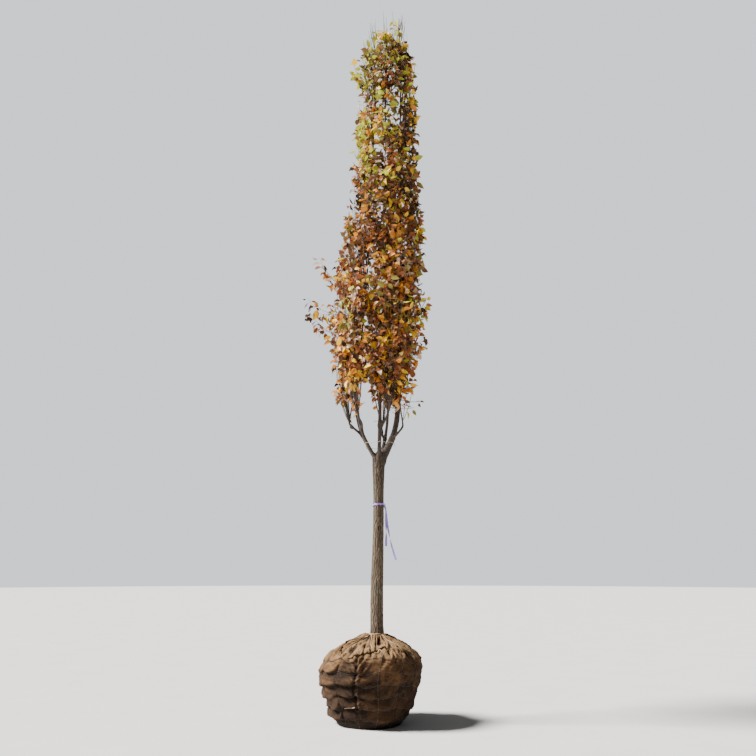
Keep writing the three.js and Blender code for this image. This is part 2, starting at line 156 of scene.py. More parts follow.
def tangentsOf(line):
    return unit(np.gradient(line, axis=0))


def rowsOf(keys, *rows):
    # a dictionary for each row, by a line of keys
    return [dict(zip(keys.split(), row)) for row in rows]


# Meshes

def addObject(name, data):
    item = bpy.data.objects.new(name, data)
    bpy.context.scene.collection.objects.link(item)
    return item


def addPiece(mesh, material, replaced=()):
    # a smooth piece of the plant, named as its mesh
    mesh.polygons.foreach_set("use_smooth", np.ones(len(mesh.polygons), bool))
    mesh.update()
    mesh.materials.append(material)
    piece = addObject(mesh.name, mesh)
    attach(piece, "root")
    if replaced:
        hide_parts(*replaced)


def readAll(items, name, width=1, kind=float):
    # one property of all vertices, corners or faces
    values = np.zeros(len(items) * width, kind)
    items.foreach_get(name, values)
    return values.reshape(-1, width) if width > 1 else values


def addAttribute(mesh, name, values):
    mesh.attributes.new(name, "FLOAT", "POINT").data.foreach_set("value", np.asarray(values, np.float32))


def meshFromArrays(name, points, faces):
    # faces: a list of arrays, each of faces with the same number of corners
    mesh = bpy.data.meshes.new(name)
    corners = np.concatenate([block.ravel() for block in faces]).astype(np.int32)
    sizes = np.concatenate([np.full(len(block), block.shape[1]) for block in faces])
    mesh.vertices.add(len(points))
    mesh.vertices.foreach_set("co", np.asarray(points, np.float32).ravel())
    mesh.loops.add(len(corners))
    mesh.loops.foreach_set("vertex_index", corners)
    mesh.polygons.add(len(sizes))
    mesh.polygons.foreach_set("loop_start", (np.cumsum(sizes) - sizes).astype(np.int32))
    mesh.update(calc_edges=True)
    mesh.validate()
    return mesh


def meshFromForm(name, form):
    mesh = bpy.data.meshes.new(name)
    form.to_mesh(mesh)
    form.free()
    return mesh


def gridQuads(rows, columns):
    first = (np.arange(rows - 1)[:, None] * columns + np.arange(columns - 1)[None]).ravel()
    return np.stack([first, first + 1, first + columns + 1, first + columns], -1)


def turnOutward(mesh, thickness=0):
    # all faces outward, after the sheet has got its thickness if it has one
    form = bmesh.new()
    form.from_mesh(mesh)
    bmesh.ops.recalc_face_normals(form, faces=form.faces[:])
    if thickness:
        bmesh.ops.solidify(form, geom=form.faces[:], thickness=thickness)
        bmesh.ops.recalc_face_normals(form, faces=form.faces[:])
    form.to_mesh(mesh)
    form.free()
    return mesh


def spunMesh(name, profile, steps):
    # turned round +Z from a profile of (radius, height) points that starts and ends on the axis
    form = bmesh.new()
    verts = [form.verts.new((radius, 0, height)) for radius, height in profile]
    edges = [form.edges.new(pair) for pair in zip(verts, verts[1:])]
    bmesh.ops.spin(
        form, geom=verts + edges, cent=(0, 0, 0), axis=(0, 0, 1), angle=fullTurn, steps=steps, use_merge=True
    )
    bmesh.ops.remove_doubles(form, verts=form.verts[:], dist=1e-6)
    bmesh.ops.recalc_face_normals(form, faces=form.faces[:])
    return meshFromForm(name, form)


def manyTubes(lines, radii, sides):
    # points, quads and triangles of closed tubes, from lines (n, rings, 3) and radii (n, rings)
    count, rings, _ = lines.shape
    tangent = unit(np.gradient(lines, axis=1))
    reference = np.where(np.abs(tangent[..., 1:2]) > 0.9, np.array([1.0, 0, 0]), np.array([0, 1.0, 0]))
    reference = np.broadcast_to(reference[:, :1], tangent.shape)
    side = unit(np.cross(reference, tangent))
    ahead = np.cross(tangent, side)
    turn = np.arange(sides) / sides * 2 * math.pi
    ring = side[:, :, None] * np.cos(turn)[:, None] + ahead[:, :, None] * np.sin(turn)[:, None]
    body = lines[:, :, None] + ring * np.reshape(radii, (count, rings, -1, 1))
    points = np.concatenate([body.reshape(count, -1, 3), lines[:, :1], lines[:, -1:]], 1)
    here = np.arange(sides)
    beside = (here + 1) % sides
    rows = np.arange(rings - 1)[:, None] * sides
    low, high = (rows + here).ravel(), (rows + beside).ravel()
    quads = np.stack([low, high, high + sides, low + sides], -1)
    top, foot = (rings - 1) * sides, rings * sides
    footCap = np.stack([beside, here, np.full(sides, foot)], -1)
    tipCap = np.stack([here + top, beside + top, np.full(sides, foot + 1)], -1)
    offset = (np.arange(count) * (foot + 2))[:, None, None]
    caps = np.concatenate([footCap, tipCap])
    return points.reshape(-1, 3), (quads[None] + offset).reshape(-1, 4), (caps[None] + offset).reshape(-1, 3)


def oneTube(line, radius, sides):
    return manyTubes(line[None], np.broadcast_to(radius, len(line))[None], sides)


def joinTubes(name, groups):
    points, quads, caps, base = [], [], [], 0
    for body, four, three in groups:
        points.append(body)
        quads.append(four + base)
        caps.append(three + base)
        base += len(body)
    return meshFromArrays(name, np.concatenate(points), [np.concatenate(quads), np.concatenate(caps)])


class Surface:
    # a material's node tree, with a short call for each node that the finishes use

    def __init__(self, name, **sockets):
        self.material = bpy.data.materials.new(name)
        self.material.use_nodes = True
        self.tree = self.material.node_tree
        self.shader = self.tree.nodes["Principled BSDF"]
        for socket, value in {"Specular_IOR_Level": 0.3, **sockets}.items():
            self.feed(self.shader.inputs[socket.replace("_", " ")], value)

    def feed(self, socket, value):
        # value is a node's output, a number or a colour
        if isinstance(value, bpy.types.NodeSocket):
            self.tree.links.new(value, socket)
        else:
            socket.default_value = (*value, 1) if socket.type == "RGBA" else value

    def node(self, kind, **sockets):
        node = self.tree.nodes.new("ShaderNode" + kind)
        for socket, value in sockets.items():
            self.feed(node.inputs[socket.replace("_", " ")], value)
        return node

    def placed(self, scale=(1, 1, 1), uvMap=None):
        # object coordinates, or the piece's own map, stretched by scale
        source = self.node("UVMap" if uvMap else "TexCoord")
        if uvMap:
            source.uv_map = uvMap
        vector = source.outputs["UV" if uvMap else "Object"]
        return self.node("Mapping", Vector=vector, Scale=scale).outputs["Vector"]

    def noise(self, vector, scale, detail=4, rough=0.55, distortion=0):
        node = self.node(
            "TexNoise", Vector=vector, Scale=scale, Detail=detail, Roughness=rough, Distortion=distortion
        )
        return node.outputs["Fac"]

    def split(self, vector, axis):
        return self.node("SeparateXYZ", Vector=vector).outputs[axis]

    def attribute(self, name):
        node = self.node("Attribute")
        node.attribute_name = name
        return node.outputs["Fac"]

    def ramp(self, factor, *stops):
        node = self.node("ValToRGB", Fac=factor)
        marks = node.color_ramp.elements
        while len(marks) < len(stops):
            marks.new(0.5)
        for mark, (position, colour) in zip(marks, stops):
            mark.position = position
            mark.color = (*colour, 1)
        return node.outputs["Color"]

    def mix(self, factor, first, second, mode="MIX"):
        node = self.node("Mix")
        node.data_type, node.blend_type = "RGBA", mode
        for index, value in ((0, factor), (6, first), (7, second)):
            self.feed(node.inputs[index], value)
        return node.outputs[2]

    def calc(self, operation, first, second=0.0):
        node = self.node("Math")
        node.operation = operation
        self.feed(node.inputs[0], first)
        self.feed(node.inputs[1], second)
        return node.outputs[0]

    def span(self, value, low, high, newLow, newHigh):
        # carries values from low to high over to a new range
        node = self.node("MapRange", Value=value, From_Min=low, From_Max=high, To_Min=newLow, To_Max=newHigh)
        return node.outputs["Result"]

    def stain(self, colour, stain, pattern, low, high, atLow, atHigh):
        # mixes a stain in where a pattern lies in a range
        return self.mix(self.span(pattern, low, high, atLow, atHigh), colour, stain)

    def finish(self, colour, roughness, height=None, distance=0.0, strength=0.0):
        self.feed(self.shader.inputs["Base Color"], colour)
        self.feed(self.shader.inputs["Roughness"], roughness)
        if height:
            bump = self.node("Bump", Height=height, Distance=distance, Strength=strength)
            self.feed(self.shader.inputs["Normal"], bump.outputs["Normal"])
        return self.material


def plainMaterial(name, dark, pale, noise, roughness, relief, stretch=(1, 1, 1)):
    # one pattern gives the two shades, the roughness and the relief; dark and pale are (position, colour)
    skin = Surface(name)
    pattern = skin.noise(skin.placed(stretch), *noise)
    colour = skin.ramp(pattern, dark, pale)
    return skin.finish(colour, skin.span(pattern, 0.3, 0.7, *roughness), pattern, *relief)


# Root ball: burlap pressed between the basket's wires, and gathered up to the trunk's foot

ball = {
    "outline": [
        (0.316, 0.0), (0.362, 0.08), (0.4, 0.185), (0.436, 0.29), (0.468, 0.4), (0.484, 0.515),
        (0.45, 0.63), (0.385, 0.695), (0.27, 0.762), (0.165, 0.808), (0.112, 0.842),
    ],
    "underside": [(0.0, 0.0), (0.12, 0.0), (0.22, 0.0), (0.29, 0.0)],
    "neck": [(0.098, 0.846), (0.08, 0.844), (0.06, 0.838), (0.03, 0.836), (0.0, 0.836)],
    "leanFrom": 0.45,  # above this the ball's top leans over to the trunk's foot
    "footX": 0.075,
    "topHeight": 0.85,
    "hoops": [0.08, 0.185, 0.29, 0.4, 0.515, 0.63],
    "uprights": 14,
    "hoopGrips": [0.9, 1, 1, 1, 0.95, 0.4],  # how hard each wire draws the cloth in
    "sway": [(0.02, 2, 0, 0.9), (0.014, 5, 6, 0), (0.006, 9, 17, 0)],  # of the wires, as rows of waves
    "droop": 0.02,  # of the pouches between the uprights
    "tautAngle": 205,  # the side that is laced tightest
    "bulge": 0.052,
    "inset": 0.012,
    "slopeBelow": 0.055,  # how far below a wire the cloth takes to swell out again
    "slopeAbove": 0.017,  # and above it, where the pouch hangs over
    "uprightCrease": 0.34,
    "fold": 0.011,
    "folds": [(1, 17, 1 / 0.06, 0), (0.5, 7, 0, 0)],
    "foldsEnd": 0.74,
    "pleats": 38,  # sharper gathers that run up the dome
    "pleatDepth": 0.018,
    "pleatAngle": 215,  # the side where they are sharpest
    "pleatSway": [(0.8, 2, 0, 0), (0.5, 5, 0, 0)],
    "lobe": 0.01,  # pouches that hang over the top wire
    "overhang": 0.34,  # how far a pouch drops for each metre that it stands out
    "lump": 0.016,  # unevenness of the soil beneath
    "wrinkle": 0.016,
    "creaseDepth": 0.0042,
    "mapRadius": 0.45,
    "columns": 320,
    "rows": 250,
}
seam = {
    "angle": 268,  # where the wrap's end is drawn together
    "reach": (0.12, 0.2, 0.66, 0.72),  # the heights at which it starts and ends
    "wander": 0.012,
    "lip": 0.015,
    "lipPlace": 0.026,
    "lipWidth": 0.015,
    "groove": 0.016,
    "grooveWidth": 0.011,
    "fan": 0.024,  # small folds that run up to it from both sides
    "fanWidth": 0.1,
}

lumpNoise = makeNoise(3, 12, 16)
pouchNoise = makeNoise(4, 9, 14)
gripNoise = makeNoise(6, 8, 13)
wrinkleNoise = makeNoise(5, 60, 60)
creaseNoise = makeNoise(7, 90, 110)
pleatNoise = makeNoise(9, 14, 38)


def betweenUprights(angle, shift=0.0):
    # 0 at an upright wire, 1 half way to the next
    return np.abs(np.cos(ball["uprights"] * angle / 2 + shift))


def towards(angle, degrees, low, high):
    # rises to 1 on the side of the ball that faces a heading in degrees
    return smoothStep(np.cos(angle - math.radians(degrees)), low, high)


def hoopWander(angle, height):
    # how far the wires and the pouches between them run off level
    sway = waves(angle, height, ball["sway"]) + ball["droop"] * (betweenUprights(angle) - 0.4)
    return sway * between(height, 0.03, 0.2, 0.64, 0.74)


def burlapRelief(angle, height):
    # pouches between the wires, each drawn in more or less by the wire below and above it
    turn = angle / fullTurn
    taut = 0.42 + 0.58 * towards(angle, ball["tautAngle"], -0.1, 0.55)
    drawn = np.zeros(np.shape(height))
    for index, (hoop, hold) in enumerate(zip(ball["hoops"], ball["hoopGrips"])):
        grip = hold * taut * (0.25 + 0.75 * smoothStep(gripNoise(turn * 13, index + 0.5), 0.25, 0.65))
        rise = height - hoop
        below = np.exp(-(np.maximum(-rise, 0) / ball["slopeBelow"]) ** 1.5)
        over = np.exp(-(np.maximum(rise, 0) / ball["slopeAbove"]) ** 1.6)
        drawn = np.maximum(drawn, grip * below * over)
    grip = taut * (0.1 + 0.8 * smoothStep(gripNoise(turn * 13 + 5, height / 0.13 + 2), 0.3, 0.7))
    drawn = np.maximum(drawn, grip * np.exp(-(betweenUprights(angle) / ball["uprightCrease"]) ** 1.4))
    uneven = 0.35 + 0.95 * pouchNoise(turn * 14, height / 0.105)
    top = ball["hoops"][-1]
    swell = ball["bulge"] * uneven * (1 - drawn) - ball["inset"]
    pouch = swell * between(height, 0.03, 0.1, top, top + 0.07)
    shoulder = between(height, top, top + 0.06, ball["foldsEnd"], ball["topHeight"])
    hang = np.clip((height - top) / 0.1, 0, 1) ** 0.5
    folds = ball["fold"] * shoulder * (0.9 + waves(angle, height, ball["folds"]))
    folds = folds + ball["lobe"] * np.sin(np.pi * hang) * betweenUprights(angle, 0.5) ** 0.8
    return pouch + np.where(height < top, 0, folds)


def seamRelief(angle, height):
    # a groove with a lip beside it, and the fan of folds
    away = (np.mod(angle - math.radians(seam["angle"]) + math.pi, fullTurn) - math.pi) * ball["mapRadius"]
    away = away + seam["wander"] * np.sin(height * 21)
    lip = seam["lip"] * np.exp(-((away - seam["lipPlace"]) / seam["lipWidth"]) ** 2)
    groove = seam["groove"] * np.exp(-(away / seam["grooveWidth"]) ** 2)
    fan = wrinkleNoise(away / 0.11 + 5, (np.abs(away) * 0.9 - height) / 0.021 + 3 * np.sin(height * 9))
    fan = seam["fan"] * (fan - 0.5) * np.exp(-(away / seam["fanWidth"]) ** 2)
    return (lip - groove + fan) * between(height, *seam["reach"])


def clothDetail(angle, height):
    # lumps of soil, slanting wrinkles, small creases, pleats on the dome, and the seam
    turn = angle / fullTurn
    lumps = (lumpNoise(turn * 16, height / 0.1) - 0.5) * ball["lump"]
    slant = turn * 60 + height * 14 * np.sin(angle * 2 + 0.7)
    wrinkles = (wrinkleNoise(slant, height / 0.045) - 0.5) * ball["wrinkle"]
    ridge = 1 - np.abs(2 * creaseNoise(turn * 110 + height * 60, height / 0.032) - 1)
    creases = ridge**3 * ball["creaseDepth"]
    dome = smoothStep(height, 0.6, 0.72) * (1 - 0.7 * smoothStep(height, 0.8, 0.85))
    swing = turn * ball["pleats"] + 7 * (height - 0.7) + waves(angle, height, ball["pleatSway"])
    strength = 0.2 + 1.6 * pleatNoise(turn * 38, height / 0.07)
    strength = strength * (1 + 0.6 * towards(angle, ball["pleatAngle"], 0.1, 0.8))
    coarse, fine = [np.abs(np.sin(math.pi * way)) ** 0.5 - 0.6 for way in (swing, 2.37 * swing + 9 * height)]
    pleats = (coarse * strength + fine * 0.4) * ball["pleatDepth"] * dome
    detail = lumps + wrinkles * (1 + dome) + creases + pleats + seamRelief(angle, height)
    return detail * smoothStep(height, 0.004, 0.07)


ballCurve = catmullRom([(radius, 0, height) for radius, height in ball["outline"]], ball["rows"])
ballCurve[:, 2] = np.maximum.accumulate(ballCurve[:, 2])
ballSlope = np.gradient(ballCurve, axis=0)
ballNormal = unit(np.stack([ballSlope[:, 2], np.zeros(len(ballSlope)), -ballSlope[:, 0]], -1))


def ballPoint(angle, height, lift=0.0):
    # a point on the burlap, lift metres off it
    angle, height = np.broadcast_arrays(np.asarray(angle, float), np.asarray(height, float))
    columns = (ballCurve[:, 0], ballNormal[:, 0], ballNormal[:, 2])
    plain, outNormal, upNormal = [np.interp(height, ballCurve[:, 2], values) for values in columns]
    extra = clothDetail(angle, height) + lift
    pouch = burlapRelief(angle, height + hoopWander(angle, height))
    radius = plain + pouch + outNormal * extra
    shift = ball["footX"] * smoothStep(height, ball["leanFrom"], ball["topHeight"])
    sunk = height + upNormal * extra - ball["overhang"] * np.maximum(pouch, 0)
    return np.stack([radius * np.cos(angle) + shift, radius * np.sin(angle), np.maximum(sunk, 0)], -1)


def addClothData(mesh, across, up, depth):
    # a map in metres of cloth, unbroken at the seam, and how deep each point lies and how far it faces up
    addAttribute(mesh, "depth", depth)
    mesh.update()
    addAttribute(mesh, "facing", readAll(mesh.vertex_normals, "vector", 3)[:, 2])
    loops = readAll(mesh.loops, "vertex_index", kind=np.int32)
    sizes = readAll(mesh.polygons, "loop_total", kind=np.int32)
    face = np.repeat(np.arange(len(sizes)), sizes)
    turn = across[loops]
    high = np.full(len(sizes), -np.inf)
    np.maximum.at(high, face, turn)
    turn = np.where(high[face] - turn > math.pi, turn + fullTurn, turn)
    places = np.stack([turn * ball["mapRadius"], up[loops]], -1).astype(np.float32)
    mesh.uv_layers.new(name="cloth").data.foreach_set("uv", places.ravel())


def burlapMaterial():
    look = {
        "topLightAndDust": (0.35, 0.208, 0.094),  # painted top light, with some dust, on the cloth that faces up
        "pale": (0.195, 0.102, 0.042),
        "mid": (0.088, 0.043, 0.018),
        "dark": (0.034, 0.016, 0.007),
        "foldSoilAndShadeColour": (0.014, 0.008, 0.005),  # soil down in the folds, with painted shade there
        "thread": 0.0032,  # from one thread of the weave to the next
        "stainSize": 4.5,
    }
    skin = Surface("burlap", Specular_IOR_Level=0.12, Sheen_Weight=0.02)
    cloth, body = skin.placed(uvMap="cloth"), skin.placed()
    wobble = skin.calc("MULTIPLY", skin.noise(cloth, 60, 2), 2.2)
    turns = [skin.calc("MULTIPLY", skin.split(cloth, axis), fullTurn / look["thread"]) for axis in "XY"]
    warp, weft = [skin.calc("SINE", skin.calc("ADD", turn, wobble)) for turn in turns]
    weave = skin.calc("MAXIMUM", warp, weft)
    fibres = skin.noise(skin.placed((60, 260, 1), "cloth"), 1, 5, 0.7)
    blotch = skin.noise(body, look["stainSize"], 6, 0.62, 0.4)
    cloud = skin.noise(body, 17, 5, 0.6)
    colour = skin.ramp(blotch, (0.32, look["dark"]), (0.5, look["mid"]), (0.66, look["pale"]))
    streak = skin.ramp(fibres, (0.3, (0.6, 0.56, 0.52)), (0.7, (1.25, 1.22, 1.18)))
    colour = skin.mix(0.75, colour, streak, "MULTIPLY")
    # painted top light with dust: paler where the cloth faces up
    colour = skin.stain(colour, look["topLightAndDust"], skin.attribute("facing"), 0.25, 0.95, 0.0, 0.8)
    # painted shade with damp: darker towards the bottom of the ball, in cloudy patches
    dampAndLowShade = skin.calc("ADD", skin.split(body, "Z"), skin.calc("MULTIPLY", cloud, 0.5))
    colour = skin.stain(colour, look["dark"], dampAndLowShade, 0.5, 1.02, 0.9, 0.0)
    # painted shade with soil: darker where the cloth is drawn in, between pouches and in pleats
    foldShadeAndSoil = skin.span(skin.attribute("depth"), 0.05, 0.6, 0.97, 0.0)
    foldShadeAndSoil = skin.calc("MULTIPLY", foldShadeAndSoil, skin.span(cloud, 0.3, 0.6, 0.75, 1.0))
    colour = skin.mix(foldShadeAndSoil, colour, look["foldSoilAndShadeColour"])
    colour = skin.mix(0.6, colour, skin.span(weave, -0.2, 0.5, 0.7, 1.0), "MULTIPLY")
    crumple = skin.noise(skin.placed((30, 46, 1), "cloth"), 1, 3, 0.5, 0.8)
    height = skin.calc("ADD", skin.calc("MULTIPLY", weave, 0.5), fibres)
    height = skin.calc("ADD", height, skin.calc("MULTIPLY", crumple, 9))
    return skin.finish(colour, skin.span(fibres, 0.2, 0.8, 0.86, 1.0), height, 0.0014, 0.9)


burlap = burlapMaterial()


def makeBall():
    sides = [(point[0], point[2]) for point in ballCurve]
    mesh = spunMesh("burlap_wrap", ball["underside"] + sides + ball["neck"], ball["columns"])
    points = readAll(mesh.vertices, "co", 3)
    angle = np.arctan2(points[:, 1], points[:, 0])
    height = points[:, 2]
    onSide = (height > 1e-5) & (np.hypot(points[:, 0], points[:, 1]) > 0.105)
    moved = points.copy()
    moved[onSide] = ballPoint(angle[onSide], height[onSide])
    moved[~onSide, 0] += np.where(height[~onSide] > 0.5, ball["footX"], 0)
    mesh.vertices.foreach_set("co", moved.ravel())
    onDome = smoothStep(height, 0.64, 0.72)
    detail = clothDetail(angle, height) * (2 + 1.2 * onDome)
    detail = detail + burlapRelief(angle, height + hoopWander(angle, height))
    # how far the cloth stands out; the burlap paints shade and soil where this is low, in the folds
    depth = np.clip(detail / 0.044 * 0.85 + 0.12 * onDome, 0, 1)
    up = np.interp(height, ballCurve[:, 2], lengthsAlong(ballCurve))
    addClothData(mesh, angle, up, np.where(onSide, depth, 0.3))
    addPiece(mesh, burlap, ["root_ball"])


def shellMesh(name, under, over):
    # a closed sheet from two grids of points, one thickness apart
    rows, columns, _ = under.shape
    layer = rows * columns
    quads = gridQuads(rows, columns)
    top = np.arange(columns)
    right = np.arange(rows) * columns + columns - 1
    bottom = (rows - 1) * columns + top[::-1]
    left = right[::-1] - columns + 1
    border = np.concatenate([edge[:-1] for edge in (top, right, bottom, left)])
    following = np.roll(border, -1)
    rim = np.stack([border, border + layer, following + layer, following], -1)
    points = np.concatenate([under.reshape(-1, 3), over.reshape(-1, 3)])
    return turnOutward(meshFromArrays(name, points, [quads[:, ::-1], quads + layer, rim]))


flapShape = {"columns": 110, "rows": 12, "thickness": 0.0025, "lifts": [-0.002, 0.006, 0.013, 0.016, 0.012]}
flaps = {
    # (angle, height) along both long edges: the wrap's overlap on the dome, then two tucked corners
    "front": (
        [(250, 0.705), (266, 0.74), (284, 0.76), (304, 0.77)],
        [(252, 0.652), (266, 0.684), (285, 0.708), (306, 0.738)],
    ),
    "left": (
        [(186, 0.825), (200, 0.775), (215, 0.72), (227, 0.675)],
        [(196, 0.82), (212, 0.765), (226, 0.71), (237, 0.672)],
    ),
    "back": (
        [(60, 0.81), (74, 0.75), (88, 0.69), (100, 0.63)],
        [(50, 0.81), (60, 0.75), (72, 0.69), (84, 0.63)],
    ),
}


def makeFlap(name, nearEdge, farEdge):
    # a loose sheet that lifts off the ball towards its far edge
    along = np.linspace(0, 1, flapShape["columns"])
    across = np.linspace(0, 1, flapShape["rows"])[:, None]
    near, far = [alongLine(np.array(edge), along) for edge in (nearEdge, farEdge)]
    grid = near[None] * (1 - across[..., None]) + far[None] * across[..., None]
    waves = 0.005 * np.sin(along * 23) * across + 0.002 * np.sin(along * 51 + across * 3)
    ragged = 0.012 * (creaseNoise(along * 17, along * 0 + 3.3) - 0.5) * across
    ends = np.minimum(1, np.minimum(along, 1 - along) * 6)
    lifts = flapShape["lifts"]
    lift = (np.interp(across, np.linspace(0, 1, len(lifts)), lifts) + waves * across) * ends
    angle, height = np.radians(grid[..., 0]), grid[..., 1] + ragged
    under, over = [ballPoint(angle, height, lift + more) for more in (0, flapShape["thickness"])]
    mesh = shellMesh(name, under, over)
    points = readAll(mesh.vertices, "co", 3)
    turn = np.arctan2(points[:, 1], points[:, 0] - 0.05)
    addClothData(mesh, turn, points[:, 2] * 1.3, np.full(len(points), 0.8))
    addPiece(mesh, burlap, ())


makeBall()
for flapSide, flapEdges in flaps.items():
    makeFlap("burlap_flap_" + flapSide, *flapEdges)
print("root ball wrapped")


# Wire basket and its lacing

basket = {"wire": 0.0015, "stand": 0.0006, "topHeight": 0.672, "eye": 0.009, "sides": 8}


def wireMaterial():
    look = {"steel": (0.11, 0.085, 0.066), "rust": (0.05, 0.026, 0.016)}
    skin = Surface("basket_wire", Metallic=0.25)
    patches = skin.noise(skin.placed(), 26, 5, 0.6)
    colour = skin.ramp(patches, (0.42, look["steel"]), (0.6, look["rust"]))
    pits = skin.noise(skin.placed(), 320, 3)
    return skin.finish(colour, skin.span(patches, 0.4, 0.6, 0.6, 0.9), pits, 0.0004, 0.5)


def makeBasket():
    stand, top = basket["stand"], basket["topHeight"]
    sweep, eye = np.linspace(0, fullTurn, 281), np.linspace(0, fullTurn, 25)
    heights = np.linspace(0.006, top, 120)
    lines = []
    for hoop in ball["hoops"]:
        kinked = hoop + 0.004 * np.abs(np.mod(sweep * ball["uprights"] / math.pi, 2) - 1) - 0.002
        lines.append(ballPoint(sweep, kinked - hoopWander(sweep, hoop), stand))
    for k in range(ball["uprights"]):
        angle = math.pi * (2 * k + 1) / ball["uprights"]
        drift = angle + 0.018 * np.sin(heights * 9 + 2.3 * k)
        lines.append(ballPoint(drift, heights, stand + basket["wire"]))
        loop = top + basket["eye"] * (1 - np.cos(eye))
        lines.append(ballPoint(angle + 0.02 * np.sin(eye), loop, stand + 0.002))
    wires = [oneTube(line, basket["wire"], basket["sides"]) for line in lines]
    addPiece(joinTubes("basket_wires", wires), wireMaterial())


twine = {
    "look": {
        "dark": (0.35, (0.3, 0.2, 0.1)),
        "pale": (0.6, (0.6, 0.46, 0.27)),
        "noise": (420, 4, 0.7),
        "roughness": (0.8, 1.0),
        "relief": (0.0006, 0.7),
    },
    "radius": 0.0031,
    "twistLength": 0.018,
    "bridge": 9,  # samples either way over which a cord bridges hollows in the cloth
    "coils": {"height": 0.849, "radius": 0.0755, "tilt": 0.005, "start": 40, "turns": 2.1},
    "lacing": [
        [(262, 0.842), (268, 0.81), (274, 0.775), (281, 0.735), (289, 0.705)],
        [(312, 0.842), (322, 0.79), (333, 0.74), (347, 0.7)],
        [(20, 0.842), (31, 0.79), (47, 0.735), (58, 0.7)],
        [(110, 0.842), (119, 0.79), (127, 0.74), (135, 0.7)],
        [(196, 0.842), (204, 0.8), (208, 0.76), (212, 0.7)],
    ],
    "loose": [
        # how far each loose end stands off the burlap, and its way
        (0.006, [
            (286, 0.724), (291, 0.716), (292, 0.703), (287, 0.698), (283, 0.708), (287, 0.72), (294, 0.712),
            (297, 0.697),
        ]),
        (0.004, [(246, 0.832), (238, 0.822), (231, 0.826), (226, 0.815)]),
        (0.004, [(247, 0.186), (254, 0.2), (261, 0.208), (268, 0.228)]),
    ],
}


def twineTube(line, radius=twine["radius"], sides=12):
    # a laid cord: three strands that wind round each other
    length = lengthsAlong(line)
    turn = np.arange(sides) / sides * 2 * math.pi
    wound = np.abs(np.cos(1.5 * (turn[None] - length[:, None] * 2 * math.pi / twine["twistLength"])))
    ends = np.minimum(1, np.minimum(length, length[-1] - length) / radius * 0.5 + 0.4)
    return manyTubes(line[None], (radius * (0.72 + 0.28 * wound) * ends[:, None])[None], sides)


def overBall(stops, lift=twine["radius"]):
    # a cord laid over the burlap through stops of (angle in degrees, height)
    path = catmullRom([(math.radians(angle), height, 0) for angle, height in stops], 120)
    line = resample(ballPoint(path[:, 0], path[:, 1], lift + 0.002), 0.0035)
    reach = min(twine["bridge"], len(line) // 3)
    window = np.ones(2 * reach + 1) / (2 * reach + 1)
    return averaged(line, np.repeat(line[:1], reach, 0), np.repeat(line[-1:], reach, 0), window)


def footCoils(height, radius, tilt, start, turns):
    sweep = np.radians(start) + np.linspace(0, 2 * math.pi * turns, int(90 * turns))
    rise = height + tilt * np.sin(sweep + 0.8) + 0.004 * turns * np.linspace(0, 1, len(sweep))
    ring = np.stack([ball["footX"] + radius * np.cos(sweep), radius * np.sin(sweep), rise], -1)
    return resample(ring, 0.0035)


def makeTwine():
    lines = [overBall(stops) for stops in twine["lacing"]] + [footCoils(**twine["coils"])]
    lines += [overBall(stops, lift) for lift, stops in twine["loose"]]
    addPiece(joinTubes("lacing_twine", [twineTube(line) for line in lines]), jute)


jute = plainMaterial("jute_twine", **twine["look"])
makeBasket()
makeTwine()
print("basket and lacing done")


# Trunk and boughs: the source's own lines, with bark on them

trunk = {
    "points": [(0.075, 0, 0.8), (0.084, -0.009, 1.4), (0.091, 0.009, 2.0), (0.1, 0, 2.735)],
    "shares": [0, 0.05, 0.1, 0.8, 0.93, 0.97, 1],  # up the trunk, and its radius there
    "radii": [0.074, 0.066, 0.063, 0.056, 0.067, 0.0603, 0.0369],
    "samples": 241,
    "forkX": 0.1,
    "forkHeight": 2.65,
    "dome": 0.11,  # the top rounds in between the boughs
    "sides": 176,
    "rows": 420,
    "barkDepth": 0.0052,
    "flakeDepth": 0.0024,
    "grainDepth": 0.0011,
    "roots": 0.007,  # the swelling of the flare, which dies away over flareHeight
    "flareHeight": 0.07,
    "rootWaves": [(1, 5, 0, 0.6), (0.4, 3, 0, 0)],
    "uneven": [(0.0025, 2, 3.1, 0), (0.0018, 3, -5, 0)],
}
crown = {
    "heights": [2.66, 3.1, 3.5, 4.0, 4.35, 4.8, 5.4, 6.0, 6.7, 7.3, 7.8, 8.25],
    "widths": [0.24, 0.45, 0.55, 0.61, 0.65, 0.57, 0.47, 0.42, 0.39, 0.39, 0.31, 0.19],
    "axisX": 0.105,
    "leanFrom": 3.0,
    "lean": 0.02,
}
forkBoughs = rowsOf(
    "side angle thick thin reach knee top tuck lowTurn",
    ("right", 6, 0.043, 0.01, 0.205, 0.62, 6.86, 0.02, -18),  # the leader
    ("back", 80, 0.021, 0.009, 0.23, 0.7, 4.9, 0.06, 17),
    ("left", 163, 0.023, 0.009, 0.32, 0.76, 5.08, 0.11, 17),
    ("front_left", 222, 0.019, 0.008, 0.28, 0.68, 4.78, 0.09, 16),
    ("front", 286, 0.024, 0.009, 0.19, 0.64, 4.96, 0.01, 18),
)
leaderLimbs = rowsOf(
    "name from angle thick thin reach knee top tuck",
    ("limb_mid_right", 4.25, 21, 0.017, 0.009, 0.3, 0.33, 4.98, 0.01),
    ("limb_top_left", 5.9, 172, 0.013, 0.008, 0.15, 0.42, 6.9, 0.01),
    ("limb_top_front", 6.15, 282, 0.012, 0.008, 0.12, 0.33, 6.94, 0.0),
)
lowLimb = {
    "from": 2.84,
    "stagger": 0.035,
    "top": 3.03,
    "thickShare": 0.62,
    "thickest": 0.024,
    "reachShare": 0.55,
    "reachMore": 0.165,
    "same": {"thin": 0.008, "knee": 0.12, "tuck": 0, "ease": 70},  # what all five share
}
